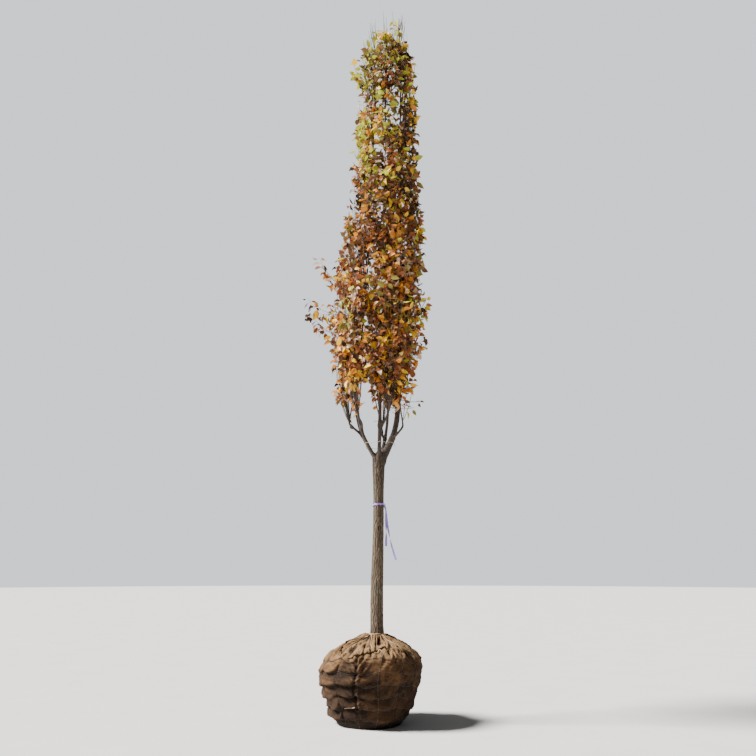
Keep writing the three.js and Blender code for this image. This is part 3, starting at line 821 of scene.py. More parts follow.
limbShape = {
    "footSpread": 0.024,
    "footDepth": 0.04,
    "shoulder": 0.78,
    "sway": 3,
    "taper": 0.8,
    "samples": 241,
    "fine": (40, 22),  # sides of a thick limb and of a thin one
    "thick": 0.03,
    "rowHeight": 0.011,
    "fewestRows": 60,
    "mostRows": 360,
}


def crownWidth(height):
    return np.interp(height, crown["heights"], crown["widths"])


def crownAxisX(height):
    return crown["axisX"] + crown["lean"] * np.maximum(0, height - crown["leanFrom"])


def axisReach(points):
    # how far points lie from the crown's own axis
    return np.hypot(points[..., 0] - crownAxisX(points[..., 2]), points[..., 1])


def awayFromAxis(point, rise=0.0):
    return np.array([point[0] - crownAxisX(point[2]), point[1], rise])


def crownPoint(angle, reach, height):
    turn = math.radians(angle)
    return np.array([crownAxisX(height) + reach * math.cos(turn), reach * math.sin(turn), height])


def pointAtHeight(line, height):
    return line[np.argmin(np.abs(line[:, 2] - height))]


def makeLimb(name, start, spec):
    angle, reach, tuck, top = spec["angle"], spec["reach"], spec["tuck"], spec["top"]
    knee = start[2] + spec["knee"]
    line = catmullRom(
        [
            start,
            crownPoint(angle, reach * limbShape["shoulder"], start[2] + spec["knee"] / 2),
            crownPoint(angle, reach, knee),
            crownPoint(angle + limbShape["sway"], reach - tuck * 0.4, (knee + top) / 2),
            crownPoint(angle, reach - tuck, top),
        ],
        limbShape["samples"],
    )
    if "ease" in spec:
        line = eased(line, spec["ease"])
    along = np.linspace(0, 1, len(line))
    radii = spec["thick"] + (spec["thin"] - spec["thick"]) * along ** limbShape["taper"]
    return {"name": name, "line": line, "radii": radii, "thin": spec["thin"]}


def makeLimbs():
    boughs, low = [], []
    for spec in forkBoughs:
        turn = math.radians(spec["angle"])
        aside = limbShape["footSpread"] * np.array([math.cos(turn), math.sin(turn), 0])
        start = np.array([trunk["forkX"], 0, trunk["forkHeight"] - limbShape["footDepth"]]) + aside
        boughs.append(makeLimb("bough_" + spec["side"], start, spec))
    for i, (bough, spec) in enumerate(zip(boughs, forkBoughs)):
        lift = lowLimb["stagger"] * i
        plan = dict(
            lowLimb["same"],
            angle=spec["angle"] + spec["lowTurn"],
            thick=lowLimb["thickShare"] * min(spec["thick"], lowLimb["thickest"]),
            reach=lowLimb["reachShare"] * spec["reach"] + lowLimb["reachMore"],
            top=lowLimb["top"] + lift,
        )
        start = pointAtHeight(bough["line"], lowLimb["from"] + lift)
        low.append(makeLimb("limb_low_" + spec["side"], start, plan))
    leader = boughs[0]["line"]
    high = [makeLimb(spec["name"], pointAtHeight(leader, spec["from"]), spec) for spec in leaderLimbs]
    return boughs + low + high


limbs = makeLimbs()
trunkLine = catmullRom(trunk["points"], trunk["samples"])
trunkRadii = np.interp(np.linspace(0, 1, trunk["samples"]), trunk["shares"], trunk["radii"])

bark = {
    "first": 17,  # furrows round the trunk that wind one way, and then the other
    "second": 12,
    "swing": 1.2,
    "cross": 1.4,
    "columns": 19,  # plates round the trunk
    "plateHeight": 0.08,
    "breaks": 0.6,
    "boughScale": 1.3,
    "crotchWidth": 0.034,
    "crotchSwell": 0.012,
}
swingNoise = makeNoise(21, 60, 9)
crossNoise = makeNoise(22, 60, 7)
fadeNoise = makeNoise(25, 60, 10)
flakeNoise = makeNoise(23, 90, 22)
grainNoise = makeNoise(24, 160, 80)
plateTable = np.random.RandomState(25).rand(64, bark["columns"], 3)


def barkPlates(across, up):
    # cells of bark: how deep inside its own cell a point lies, and that cell's own random number
    rows, columns, _ = plateTable.shape
    cellX, cellY = np.floor(across).astype(int), np.floor(up).astype(int)
    nearest = np.full(np.shape(across), 9.0)
    second, own = nearest.copy(), nearest.copy()
    for step in range(9):
        x, y = cellX + step // 3 - 1, cellY + step % 3 - 1
        spot = plateTable[y % rows, x % columns]
        away = np.hypot(x + spot[..., 0] - across, y + spot[..., 1] - up)
        isNearest = away < nearest
        second = np.where(isNearest, nearest, np.minimum(second, away))
        own = np.where(isNearest, spot[..., 2], own)
        nearest = np.where(isNearest, away, nearest)
    return second - nearest, own


def barkRelief(turn, length, scale):
    # broken plates between winding furrows: ridges at 1 and furrows at 0, how far flakes lift, the grain
    swing = swingNoise(turn * 9, length / 0.13 / scale) * bark["swing"]
    cross = crossNoise(turn * 7, length / 0.1 / scale) * bark["cross"]
    fade = fadeNoise(turn * 10, length / 0.05 / scale)
    across = turn * bark["columns"] + 0.6 * swing + 0.6 * fade
    flakes = 0.6 * flakeNoise(turn * 22, length / 0.04 / scale)
    inside, own = barkPlates(across, length / bark["plateHeight"] / scale + 0.5 * cross + flakes)
    first = np.abs(np.sin(math.pi * (turn * bark["first"] + swing)))
    second = np.abs(np.sin(math.pi * (turn * bark["second"] - cross)))
    gaps = np.minimum(first + smoothStep(fade, 0.5, 0.75), second + smoothStep(1 - fade, 0.45, 0.7))
    broken = bark["breaks"] + (1 - bark["breaks"]) * smoothStep(inside, 0.0, 0.25)
    lift = np.clip(0.35 + 0.8 * (own - 0.5) + 0.5 * (fade - 0.5) + inside * 0.4, 0, 1)
    return smoothStep(gaps, 0.0, 0.5) * broken, lift, grainNoise(turn * 80 + swing * 3, length / 0.02 / scale)


def barkTube(name, line, radii, sides, rows, relief, domed=0):
    # a closed tube turned with spin and bent along the line; relief gives metres to add and values to keep,
    # and domed is the length over which the top rounds in
    profile = [(0.0, 0.0)] + [(1.0, i / rows) for i in range(rows + 1)] + [(0.0, 1.0)]
    mesh = spunMesh(name, profile, sides)
    local = readAll(mesh.vertices, "co", 3)
    isPole = np.hypot(local[:, 0], local[:, 1]) < 0.5
    angle, along = np.arctan2(local[:, 1], local[:, 0]), local[:, 2]
    centre = alongLine(line, along)
    tangent = unit(alongLine(tangentsOf(line), along))
    side = unit(np.cross(np.array([0, 1.0, 0]), tangent))
    outward = side * np.cos(angle)[:, None] + np.cross(tangent, side) * np.sin(angle)[:, None]
    radius = np.interp(along, np.linspace(0, 1, len(radii)), radii)
    whole = lineLength(line)
    length = along * whole
    if domed:
        radius = radius * np.sqrt(np.maximum(0, 1 - np.clip(1 - (whole - length) / domed, 0, 1) ** 2))
    extra, keep = relief(angle, length, centre + outward * radius[:, None], radius)
    points = centre + outward * np.where(isPole, 0, np.maximum(radius + extra, 0.0005))[:, None]
    mesh.vertices.foreach_set("co", points.ravel())
    addAttribute(mesh, "plate", np.where(isPole, 0.5, keep))
    return mesh


def crotchSwell(points, radius, own):
    # wood swells where one limb leaves another or the trunk
    swell = np.zeros(len(points))
    tubes = [("trunk", trunkLine, trunkRadii)]
    tubes += [(limb["name"], limb["line"], limb["radii"]) for limb in limbs]
    low, high = points.min(0) - 0.1, points.max(0) + 0.1
    for name, line, radii in tubes:
        inside = np.all((line > low) & (line < high), axis=1)
        if name == own or not inside.any():
            continue
        centres, sizes = line[inside], radii[inside]
        step = max(1, len(centres) // 60)
        near = np.full(len(points), 9.0)
        for centre, size in zip(centres[::step], sizes[::step]):
            near = np.minimum(near, np.linalg.norm(points - centre, axis=1) - size)
        closeness = np.clip(1 - np.maximum(near, 0) / bark["crotchWidth"], 0, 1) ** 2
        swell = np.maximum(swell, closeness * np.minimum(bark["crotchSwell"], radius * 0.5))
    return swell


def trunkBarkMaterial():
    look = {
        "fissure": (0.018, 0.012, 0.008),
        "plate": (0.068, 0.05, 0.034),
        "between": (0.118, 0.084, 0.056),
        "worn": (0.185, 0.146, 0.102),
        "moss": (0.11, 0.1, 0.066),
        "upper": (0.05, 0.037, 0.027),  # the smoother, darker bark near the fork
    }
    skin = Surface("trunk_bark", Specular_IOR_Level=0.2)
    streaks = skin.noise(skin.placed((1, 1, 0.2)), 70, 6, 0.65, 0.6)
    specks = skin.noise(skin.placed((1, 1, 0.45)), 190, 4, 0.7)
    patches = skin.noise(skin.placed((1, 1, 0.5)), 9, 5, 0.6)
    plate = skin.attribute("plate")
    climb = skin.calc("ADD", skin.split(skin.placed(), "Z"), skin.calc("MULTIPLY", patches, 0.9))
    colour = skin.ramp(streaks, (0.3, look["plate"]), (0.55, look["between"]), (0.72, look["worn"]))
    colour = skin.stain(colour, look["moss"], patches, 0.52, 0.7, 0.0, 0.55)
    colour = skin.stain(colour, look["worn"], patches, 0.25, 0.45, 0.5, 0.0)
    colour = skin.stain(colour, look["upper"], climb, 2.3, 3.0, 0.0, 0.75)
    colour = skin.stain(colour, look["fissure"], plate, 0.05, 0.65, 0.92, 0.0)
    colour = skin.stain(colour, look["worn"], plate, 0.75, 1.0, 0.0, 0.5)
    grain = skin.ramp(specks, (0.3, (0.62, 0.6, 0.58)), (0.68, (1.2, 1.18, 1.15)))
    colour = skin.mix(0.8, colour, grain, "MULTIPLY")
    height = skin.calc("ADD", streaks, skin.calc("MULTIPLY", specks, 0.5))
    return skin.finish(colour, skin.span(streaks, 0.3, 0.7, 0.96, 0.8), height, 0.003, 0.8)


def boughBarkMaterial():
    look = {
        "dark": (0.014, 0.009, 0.007),
        "mid": (0.034, 0.023, 0.017),
        "pale": (0.085, 0.06, 0.044),
        "lenticel": (0.17, 0.12, 0.085),
    }
    skin = Surface("bough_bark")
    streaks = skin.noise(skin.placed((1, 1, 0.25)), 90, 5, 0.6, 0.4)
    bands = skin.noise(skin.placed((1, 1, 3.5)), 22, 4, 0.6)
    dots = skin.node("TexVoronoi", Vector=skin.placed((1, 1, 1.6)), Scale=95).outputs["Distance"]
    colour = skin.ramp(streaks, (0.3, look["dark"]), (0.52, look["mid"]), (0.75, look["pale"]))
    colour = skin.stain(colour, look["lenticel"], dots, 0.1, 0.2, 0.75, 0.0)
    colour = skin.stain(colour, look["pale"], bands, 0.5, 0.7, 0.0, 0.5)
    colour = skin.stain(colour, look["dark"], skin.attribute("plate"), 0.0, 0.6, 0.8, 0.0)
    height = skin.calc("SUBTRACT", streaks, skin.calc("MULTIPLY", dots, 0.4))
    return skin.finish(colour, skin.span(bands, 0.3, 0.7, 0.62, 0.9), height, 0.0016, 0.6)


def makeTrunk():
    def relief(angle, length, points, radius):
        plates, flakes, grain = barkRelief(angle / fullTurn, length, 1)
        flare = trunk["roots"] * np.exp(-length / trunk["flareHeight"])
        form = flare * (0.4 + waves(angle, length, trunk["rootWaves"]))
        form = form + waves(angle, length, trunk["uneven"])
        depth = trunk["barkDepth"] * (plates - 0.7) + trunk["flakeDepth"] * (flakes - 0.4) * plates
        depth = depth + trunk["grainDepth"] * (grain - 0.5)
        return form + depth + crotchSwell(points, radius, "trunk"), plates * (0.6 + 0.4 * flakes)

    sides, rows = trunk["sides"], trunk["rows"]
    mesh = barkTube("bark_trunk", trunkLine, trunkRadii, sides, rows, relief, trunk["dome"])
    addPiece(mesh, trunkBarkMaterial(), ["trunk"])


def makeBough(limb, index, material):
    def relief(angle, length, points, radius):
        turn = angle / fullTurn + index * 0.37
        plates, _, grain = barkRelief(turn, length + index * 1.7, bark["boughScale"])
        coarse = smoothStep(radius, 0.016, 0.042)
        rough = radius * 0.05 * (plates - 0.8) * coarse + radius * 0.05 * (grain - 0.5)
        knots = radius * 0.16 * np.clip(np.sin(length * 23 + index * 2.1), 0.72, 1) - radius * 0.115
        tall = radius * 0.07 * np.sin(2 * angle + length * 4 + index)
        swell = crotchSwell(points, radius, limb["name"])
        return rough + knots + tall + swell, 1 - coarse * (1 - plates) * 0.9

    line, radii = limb["line"], limb["radii"]
    thickSides, thinSides = limbShape["fine"]
    sides = thickSides if radii[0] > limbShape["thick"] else thinSides
    rows = lineLength(line) / limbShape["rowHeight"]
    rows = int(min(limbShape["mostRows"], max(limbShape["fewestRows"], rows)))
    mesh = barkTube("bark_" + limb["name"], line, radii, sides, rows, relief)
    addPiece(mesh, material, [limb["name"]])


makeTrunk()
boughBark = boughBarkMaterial()
for limbIndex, limb in enumerate(limbs):
    makeBough(limb, limbIndex, boughBark)
print("trunk and boughs done")


# Twine tie at the fork, and a marker ribbon round the trunk with two loose tails

forkTie = {"height": 2.79, "radius": 0.0022, "stand": 0.001, "tilt": 0.022, "band": 0.012}


def makeForkTie():
    # drawn taut round the bark of the boughs just above the fork
    sweep = np.linspace(0, fullTurn, 91)
    rise = forkTie["height"] + forkTie["tilt"] * np.sin(sweep + 2.4)
    boughs = [bpy.data.objects["bark_bough_" + spec["side"]].data for spec in forkBoughs]
    wood = np.concatenate([readAll(mesh.vertices, "co", 3) for mesh in boughs])
    outermost = []
    for way, height in zip(np.stack([np.cos(sweep), np.sin(sweep)], -1), rise):
        near = wood[np.abs(wood[:, 2] - height) < forkTie["band"], :2]
        outermost.append(near[np.argmax(near @ way)] + way * (forkTie["radius"] + forkTie["stand"]))
    hoop = resample(np.concatenate([outermost, rise[:, None]], 1), 0.004)
    tail = catmullRom([hoop[0], hoop[0] + (0.012, -0.008, -0.02), hoop[0] + (0.016, -0.014, -0.07)], 20)
    addPiece(joinTubes("fork_tie", [twineTube(line, forkTie["radius"], 8) for line in (hoop, tail)]), jute)


ribbon = {
    "look": {
        "dark": (0.35, (0.25, 0.12, 0.54)),
        "pale": (0.7, (0.4, 0.28, 0.7)),
        "noise": (38, 4, 0.5),
        "roughness": (0.3, 0.6),
        "relief": (0.0012, 0.6),
        "stretch": (1, 1, 2.4),
    },
    "height": 2.15,
    "width": 0.022,
    "thickness": 0.0006,
    "stand": 0.0085,
    "knotAngle": 18,
    "knotRadius": 0.0045,
    "knotLoops": [(0.5, 0.012), (-0.7, 0.01)],  # how each turns, and its size
    "tails": {
        # the way of each from the knot
        "out": [(0.012, 0.006, -0.05), (0.03, 0.0, -0.2), (0.07, -0.012, -0.38), (0.125, -0.02, -0.56)],
        "down": [(0.014, -0.004, -0.04), (0.018, -0.012, -0.16), (0.022, -0.02, -0.3), (0.02, -0.018, -0.42)],
    },
}


def addStrip(name, centres, halves, material):
    # a strip from its centre line and half its width as a vector at each point
    across = np.array([-1, -0.5, 0, 0.5, 1])
    points = (centres[:, None] + halves[:, None] * across[None, :, None]).reshape(-1, 3)
    mesh = meshFromArrays(name, points, [gridQuads(len(centres), len(across))])
    addPiece(turnOutward(mesh, ribbon["thickness"]), material)


def makeRibbon():
    material = plainMaterial("marker_ribbon", **ribbon["look"])
    centre = pointAtHeight(trunkLine, ribbon["height"])
    radius = float(np.interp(ribbon["height"], trunkLine[:, 2], trunkRadii)) + ribbon["stand"]
    sweep = np.linspace(0, fullTurn, 121)
    rise = waves(sweep, 0, [(0.006, 1, 0, 2), (0.002, 9, 0, 0)])
    ring = centre + np.stack([radius * np.cos(sweep), radius * np.sin(sweep), rise], -1)
    half = ribbon["width"] / 2 * (0.8 + 0.2 * np.cos(7 * sweep))
    halves = np.stack([0.002 * np.cos(sweep * 5), 0.002 * np.sin(sweep * 5), half], -1)
    addStrip("ribbon_band", ring, halves, material)
    turn = math.radians(ribbon["knotAngle"])
    knot = centre + np.array([radius * math.cos(turn), radius * math.sin(turn), -0.01])
    for name, stops in ribbon["tails"].items():
        line = catmullRom([knot] + [knot + stop for stop in stops], 70)
        share = np.linspace(0, 1, len(line))
        twist = 2.6 * share + 0.7 * np.sin(share * 9)
        half = ribbon["width"] / 2 * smoothStep(share, -0.3, 0.15)
        halves = np.stack([np.cos(twist) * half, np.sin(twist) * half, np.zeros(len(line))], -1)
        addStrip("ribbon_tail_" + name, line, halves, material)
    sweep = np.linspace(0, fullTurn, 30)
    bow = []
    for turn, size in ribbon["knotLoops"]:
        loop = np.stack([size * np.cos(sweep) * 0.6, size * np.sin(sweep) * turn, size * np.sin(sweep)], -1)
        bow.append(oneTube(knot + loop, ribbon["knotRadius"], 8))
    addPiece(joinTubes("ribbon_knot", bow), material)


makeForkTie()
makeRibbon()
print("tie and ribbon done")


# Foliage: the masses' stems and twigs by the source's rule, carried on to finer twigs with life-size leaves

foliage = {
    "bottom": 2.68,
    "parting": 0.012,
    "stemTip": 0.004,
    "stemEnd": 0.04,  # how far below its mass's top a stem ends
    "twigSpacing": 0.2,
    "twigRadius": 0.0065,
    "twigTipRadius": 0.0028,
    "thinned": 0.6,  # the radius of stray twigs, and of those in the open low crown, as a share
    "twigSpread": 95,
    "lowestPitch": -42,
    "highestPitch": 64,
    "pitchVariation": 24,
    "upturn": 26,
    "shortestTwig": 0.11,
    "longestTwig": 0.42,
    "shares": (1, 0.8, 0.6, 0.45),  # of its length that are tried until a twig fits
}


def seededRandom(seed):
    # the source's own repeatable random numbers
    mask = 0xFFFFFFFF
    state = [seed & mask]

    def draw():
        state[0] = (state[0] + 0x6D2B79F5) & mask
        s = state[0]
        mixed = ((s ^ (s >> 15)) * (s | 1)) & mask
        mixed = ((mixed + (((mixed ^ (mixed >> 7)) * (mixed | 61)) & mask)) & mask) ^ mixed
        return ((mixed ^ (mixed >> 14)) & mask) / (mask + 1)

    return draw


layers = {
    "apexX": 0.125,
    "leaderParting": 4.95,
    "belowTip": 0.03,
    "lowStemOut": 0.1,
    "midTop": 6.8,
    "midStemReach": 0.22,
    "leaderMidTurn": 14,
    "leaderMidReach": 0.29,
    "topBottom": 6.812,
    "topApexHeight": 7.4,
}
topMasses = rowsOf(
    "side limb from to middle stemReach top",
    ("right", "bough_right", -38, 92, 10, 0.15, 8.25),
    ("left", "limb_top_left", 92, 232, 170, 0.17, 8.08),
    ("front", "limb_top_front", 232, 322, 277, 0.11, 7.96),
)


def makeMasses():
    # a low and a mid mass in each bough's sector of the crown, and three at the top
    angles = [spec["angle"] for spec in forkBoughs]
    around = [angles[-1] - 360, *angles, angles[0] + 360]
    masses = []
    for i, spec in enumerate(forkBoughs):
        side, isLeader = spec["side"], i == 0
        parting = layers["leaderParting"] if isLeader else spec["top"] - layers["belowTip"]
        start, end = [math.radians((around[k] + around[k + 1]) / 2) for k in (i, i + 1)]
        sector = {"apexX": layers["apexX"], "from": start, "to": end}
        masses.append(dict(
            sector, name="foliage_low_" + side, limb="limb_low_" + side, layer="low", seed=11 + 9 * i,
            bottom=foliage["bottom"], top=parting - foliage["parting"],
            middle=spec["angle"] + spec["lowTurn"], stemReach=spec["reach"] + layers["lowStemOut"],
        ))
        masses.append(dict(
            sector, name="foliage_mid_" + side, layer="mid", seed=58 + 5 * i,
            limb="limb_mid_right" if isLeader else "bough_" + side, bottom=parting, top=layers["midTop"],
            middle=spec["angle"] + (layers["leaderMidTurn"] if isLeader else 0),
            stemReach=layers["leaderMidReach" if isLeader else "midStemReach"],
        ))
    apexX = float(crownAxisX(layers["topApexHeight"]))
    for i, spec in enumerate(topMasses):
        start, end = math.radians(spec["from"]), math.radians(spec["to"])
        masses.append({
            **spec, "name": "foliage_top_" + spec["side"], "layer": "top", "seed": 91 + 3 * i,
            "apexX": apexX, "bottom": layers["topBottom"], "from": start, "to": end,
        })
    return masses


def insideSpace(mass, points, edge, isStray):
    x, y, height = points[..., 0] - mass["apexX"], points[..., 1], points[..., 2]
    pastFrom = y * math.cos(mass["from"]) - x * math.sin(mass["from"])
    beforeTo = x * math.sin(mass["to"]) - y * math.cos(mass["to"])
    margin = np.minimum(pastFrom, beforeTo)
    margin = np.minimum(margin, np.minimum(height - mass["bottom"], mass["top"] - height))
    return (isStray | (axisReach(points) < crownWidth(height))) & (margin > edge)


def twigLine(start, turn, pitch, length, count=13):
    def halfWay(slope):
        level = math.cos(slope) * length / 2
        return np.array([math.cos(turn) * level, math.sin(turn) * level, math.sin(slope) * length / 2])

    knee = start + halfWay(pitch)
    return arc(start, knee, knee + halfWay(pitch + math.radians(foliage["upturn"])), count)


def massStem(mass, limb):
    # carries the limb on to its mass's top
    start = limb["line"][-1]
    heading = unit(start - limb["line"][-2])
    end = crownPoint(mass["middle"], mass["stemReach"], mass["top"] - foliage["stemEnd"])
    third = np.linalg.norm(end - start) / 3
    t = np.linspace(0, 1, 61)[:, None]
    line = start * (1 - t) ** 3 + 3 * (start + heading * third) * t * (1 - t) ** 2
    return line + 3 * (end - upward * third) * t**2 * (1 - t) + end * t**3


strays = {
    # twigs that hang out of the crown: share of the stem, heading, pitch and length
    "foliage_low_left": [(0.5, 176, 22, 0.57), (0.66, 168, 8, 0.5), (0.8, 184, 34, 0.43)],
    "foliage_low_front": [(0.55, 290, 28, 0.43)],
    "foliage_low_back": [(0.62, 74, 24, 0.45)],
    "foliage_top_left": [(0.3, 172, 38, 0.43)],
}


def massTwigs(mass, stem):
    random = seededRandom(mass["seed"])
    count = int(math.floor(lineLength(stem) / foliage["twigSpacing"] + 0.5))
    plans = [(*row, True) for row in strays.get(mass["name"], [])]
    plans = [(along, math.radians(turn), math.radians(pitch), *rest) for along, turn, pitch, *rest in plans]
    for i in range(count):
        along = 0.01 + 0.94 * ((i + 0.5) / count) ** 1.15
        root = alongLine(stem, along)
        spread = math.radians(foliage["twigSpread"]) * math.sin(goldenAngle * i * 1.7 + mass["seed"])
        pitch = foliage["lowestPitch"] + (foliage["highestPitch"] - foliage["lowestPitch"]) * along**0.6
        pitch += foliage["pitchVariation"] * (random() - 0.5)
        room = crownWidth(root[2]) - axisReach(root)
        length = min(max(room * 1.5, foliage["shortestTwig"] * 1.6), foliage["longestTwig"])
        plans.append((along, math.radians(mass["middle"]) + spread, math.radians(pitch), length, False))
    twigs = []
    for along, turn, pitch, length, isStray in plans:
        root = alongLine(stem, along)
        for size in [length * share for share in foliage["shares"]]:
            line = twigLine(root, turn, pitch, size)
            fits = insideSpace(mass, line, foliage["twigRadius"], isStray).all()
            if size >= foliage["shortestTwig"] and fits:
                twigs.append((line, isStray))
                break
    return twigs


finer = {
    "spacing": {"low": 0.035, "mid": 0.041, "top": 0.038},  # of fine twigs along a stem or twig
    "straySpacing": 0.12,
    "limbSpacing": 0.06,
    "clearBelow": 3.34,  # few fine twigs near the axis below this, where the boughs show
    "clearWithin": 0.78,  # of the crown's width
    "cleared": 0.92,
    "fewest": 0.2,  # share of the fine twigs in the windows of the foliage
    "clumpColumns": 9,  # how many windows fit round the crown, and their height
    "clumpHeight": 0.4,
    "fullerLow": 0.45,
    "fullerHigh": 0.32,
    "bareLeft": 0.55,  # fewer on the left of the top, where bare shoots show
    "meet": 0.26,  # how far the layers of foliage grow into each other
    "inset": 0.045,
    "topTaper": 0.35,
    "shortest": 0.06,
    "longest": 0.3,
    "strayShare": 0.75,
    "spread": (22, 58),
    "outward": 0.7,
    "upturn": 1.0,
    "bend": (0.2, 1.3),
    "radius": 0.0024,
    "tip": 0.0009,
    "tries": 5,
    "shorten": 0.66,
    "least": 0.04,
}


clumpNoise = makeNoise(61, 24, finer["clumpColumns"])


def twigChance(root, outward):
    # how likely a fine twig is here: few in the windows and on the top's left, more low down
    height = root[2]
    around = math.atan2(outward[1], outward[0]) / fullTurn * finer["clumpColumns"]
    clump = clumpNoise(around + 0.3 * math.sin(height * 3), height / finer["clumpHeight"])
    fuller = finer["fullerHigh"] * between(height, 5.5, 6.0, 7.0, 7.3)
    fuller += finer["fullerLow"] * (1 - smoothStep(height, 4.3, 4.9))
    leftTop = smoothStep(height, 7.0, 7.3) * smoothStep(-outward[0], 0.0, 0.12)
    return (finer["fewest"] + fuller + 0.8 * smoothStep(clump, 0.28, 0.5)) * (1 - finer["bareLeft"] * leftTop)


def fineTwigs(mass, bearers, random):
    # short shoots round each bearer, drawn up as the whole crown is, and kept inside the crown's edge
    isLow, isTop = mass["layer"] == "low", mass["layer"] == "top"
    lowest = foliage["bottom"] + 0.05 if isLow else mass["bottom"] - finer["meet"]
    highest = mass["top"] + (0 if isTop else finer["meet"])
    made = []
    for line, spacing, first, isStray in bearers:
        count = max(1, int(lineLength(line) * (1 - first) / spacing))
        tangents = tangentsOf(line)
        for i in range(count + 1):
            isTip = i == count
            along = 1.0 if isTip else first + (1 - first) * (i + 0.5 * random.rand()) / count
            root = alongLine(line, along)
            tangent = unit(alongLine(tangents, along))
            side = unit(np.cross(tangent, upward + 0.01))
            turn = goldenAngle * (i + 3 * random.rand())
            outward = awayFromAxis(root)
            aside = side * math.cos(turn) + np.cross(tangent, side) * math.sin(turn)
            aside = unit(aside + finer["outward"] * unit(outward))
            lean = math.radians(random.uniform(*finer["spread"])) * (0.25 if isTip else 1)
            heading = unit(tangent * math.cos(lean) + aside * math.sin(lean))
            size = random.uniform(finer["shortest"], finer["longest"])
            bend = finer["upturn"] * random.uniform(*finer["bend"])
            isInner = axisReach(root) / crownWidth(root[2]) < finer["clearWithin"]
            if root[2] < finer["clearBelow"] and isInner and random.rand() < finer["cleared"]:
                continue
            if isStray:
                size *= finer["strayShare"]
            elif random.rand() > twigChance(root, outward):
                continue
            for _ in range(finer["tries"]):
                knee = root + heading * size * 0.5
                tip = knee + unit(heading + upward * bend) * size * 0.5
                taper = 1 - finer["topTaper"] * smoothStep(tip[2], 7.5, 8.2)
                edge = crownWidth(tip[2]) * taper - finer["inset"]
                if (isStray or axisReach(tip) < edge) and lowest < tip[2] < highest:
                    made.append(arc(root, knee, tip, 6))
                    break
                size *= finer["shorten"]
                if size < finer["least"]:
                    break
    return made


whips = {
    "perMass": {"low": 28, "mid": 26, "top": 40},
    "bare": {"low": 11, "mid": 9, "top": 8},  # of them, without leaves, bowed out to the crown's edge
    "stout": {"low": 4, "mid": 7, "top": 6},  # of them, thick enough to show as dark lines through the crown
    "bearFrom": {"low": 0.5, "mid": 0.5, "top": 0.85},  # share of the limb from which they grow
    "widest": {"low": 1, "mid": 1, "top": 1.12},  # how far out they reach as a share of the crown's width
    "length": (0.4, 0.95),
    "stoutLength": (0.8, 1.5),
    "spread": 1.3,  # either side of the mass's middle
    "outward": 0.16,
    "lean": (0.3, 2.2),
    "bow": 0.12,
    "bareBow": 0.34,
    "twigSpacing": {"low": 0.17, "mid": 0.12, "top": 0.15},
    "leafyFrom": 0.35,
    "radius": 0.0036,
    "stoutRadius": 0.0072,
    "tip": 0.0013,
    "lowest": 3.02,
    "highest": 8.27,
    "tries": 5,
    "shorten": 0.75,
    "samples": 12,
}


def makeWhips(mass, stem, limb, random):
    # long shoots that the ties hold upright among the leaves
    made = []
    layer = mass["layer"]
    count = whips["perMass"][layer]
    carrier = np.concatenate([limb["line"][int(len(limb["line"]) * whips["bearFrom"][layer]):], stem])
    for i in range(count):
        isStout, isBare = i < whips["stout"][layer], i >= count - whips["bare"][layer]
        root = alongLine(carrier, random.uniform(0.0, 0.75 if isStout else 0.95))
        if root[2] < whips["lowest"]:
            continue
        size = random.uniform(*whips["stoutLength" if isStout else "length"])
        turn = math.radians(mass["middle"]) + random.uniform(-whips["spread"], whips["spread"])
        lean = whips["outward"] * random.uniform(*whips["lean"])
        out = np.array([math.cos(turn), math.sin(turn), 0])
        heading = unit(out * lean + upward)
        bowed = heading + out * whips["bareBow" if isBare else "bow"]
        for _ in range(whips["tries"]):
            tip = root + heading * size
            if axisReach(tip) < crownWidth(tip[2]) * whips["widest"][layer] and tip[2] < whips["highest"]:
                made.append((arc(root, root + bowed * size * 0.5, tip, whips["samples"]), isStout, isBare))
                break
            size *= whips["shorten"]
    return made


leafShape = {
    "along": [0.0, 0.06, 0.2, 0.4, 0.62, 0.82, 1.0],
    "half": [0.0, 0.22, 0.42, 0.5, 0.41, 0.2, 0.0],  # half width as a share of the leaf's width
    "length": (0.056, 0.108),
    "aspect": (0.47, 0.7),
    "strayShare": 1.1,
    "tipShare": 0.8,
    "drySize": (1.12, 0.2),  # a fresh leaf's size, and how much of it a dry one has lost
    "lobes": 0.035,
    "stalk": 0.034,
    "stalkRadii": (0.00132, 0.00088),
    "spacing": 0.028,
    "straySpacing": 0.055,
    "sprayShare": 0.72,  # of leaves that have their spray's tint
    "aside": (0.3, 1.0),  # the parts that make up a leaf's heading
    "forward": (0.2, 0.8),
    "scatter": 0.4,
    "droop": (0.0, 1.7),
    "strayDroop": (0.8, 2.2),
    "faceOut": 0.6,  # and those that make up the way its face looks
    "faceUp": 0.5,
    "faceScatter": 0.6,
}


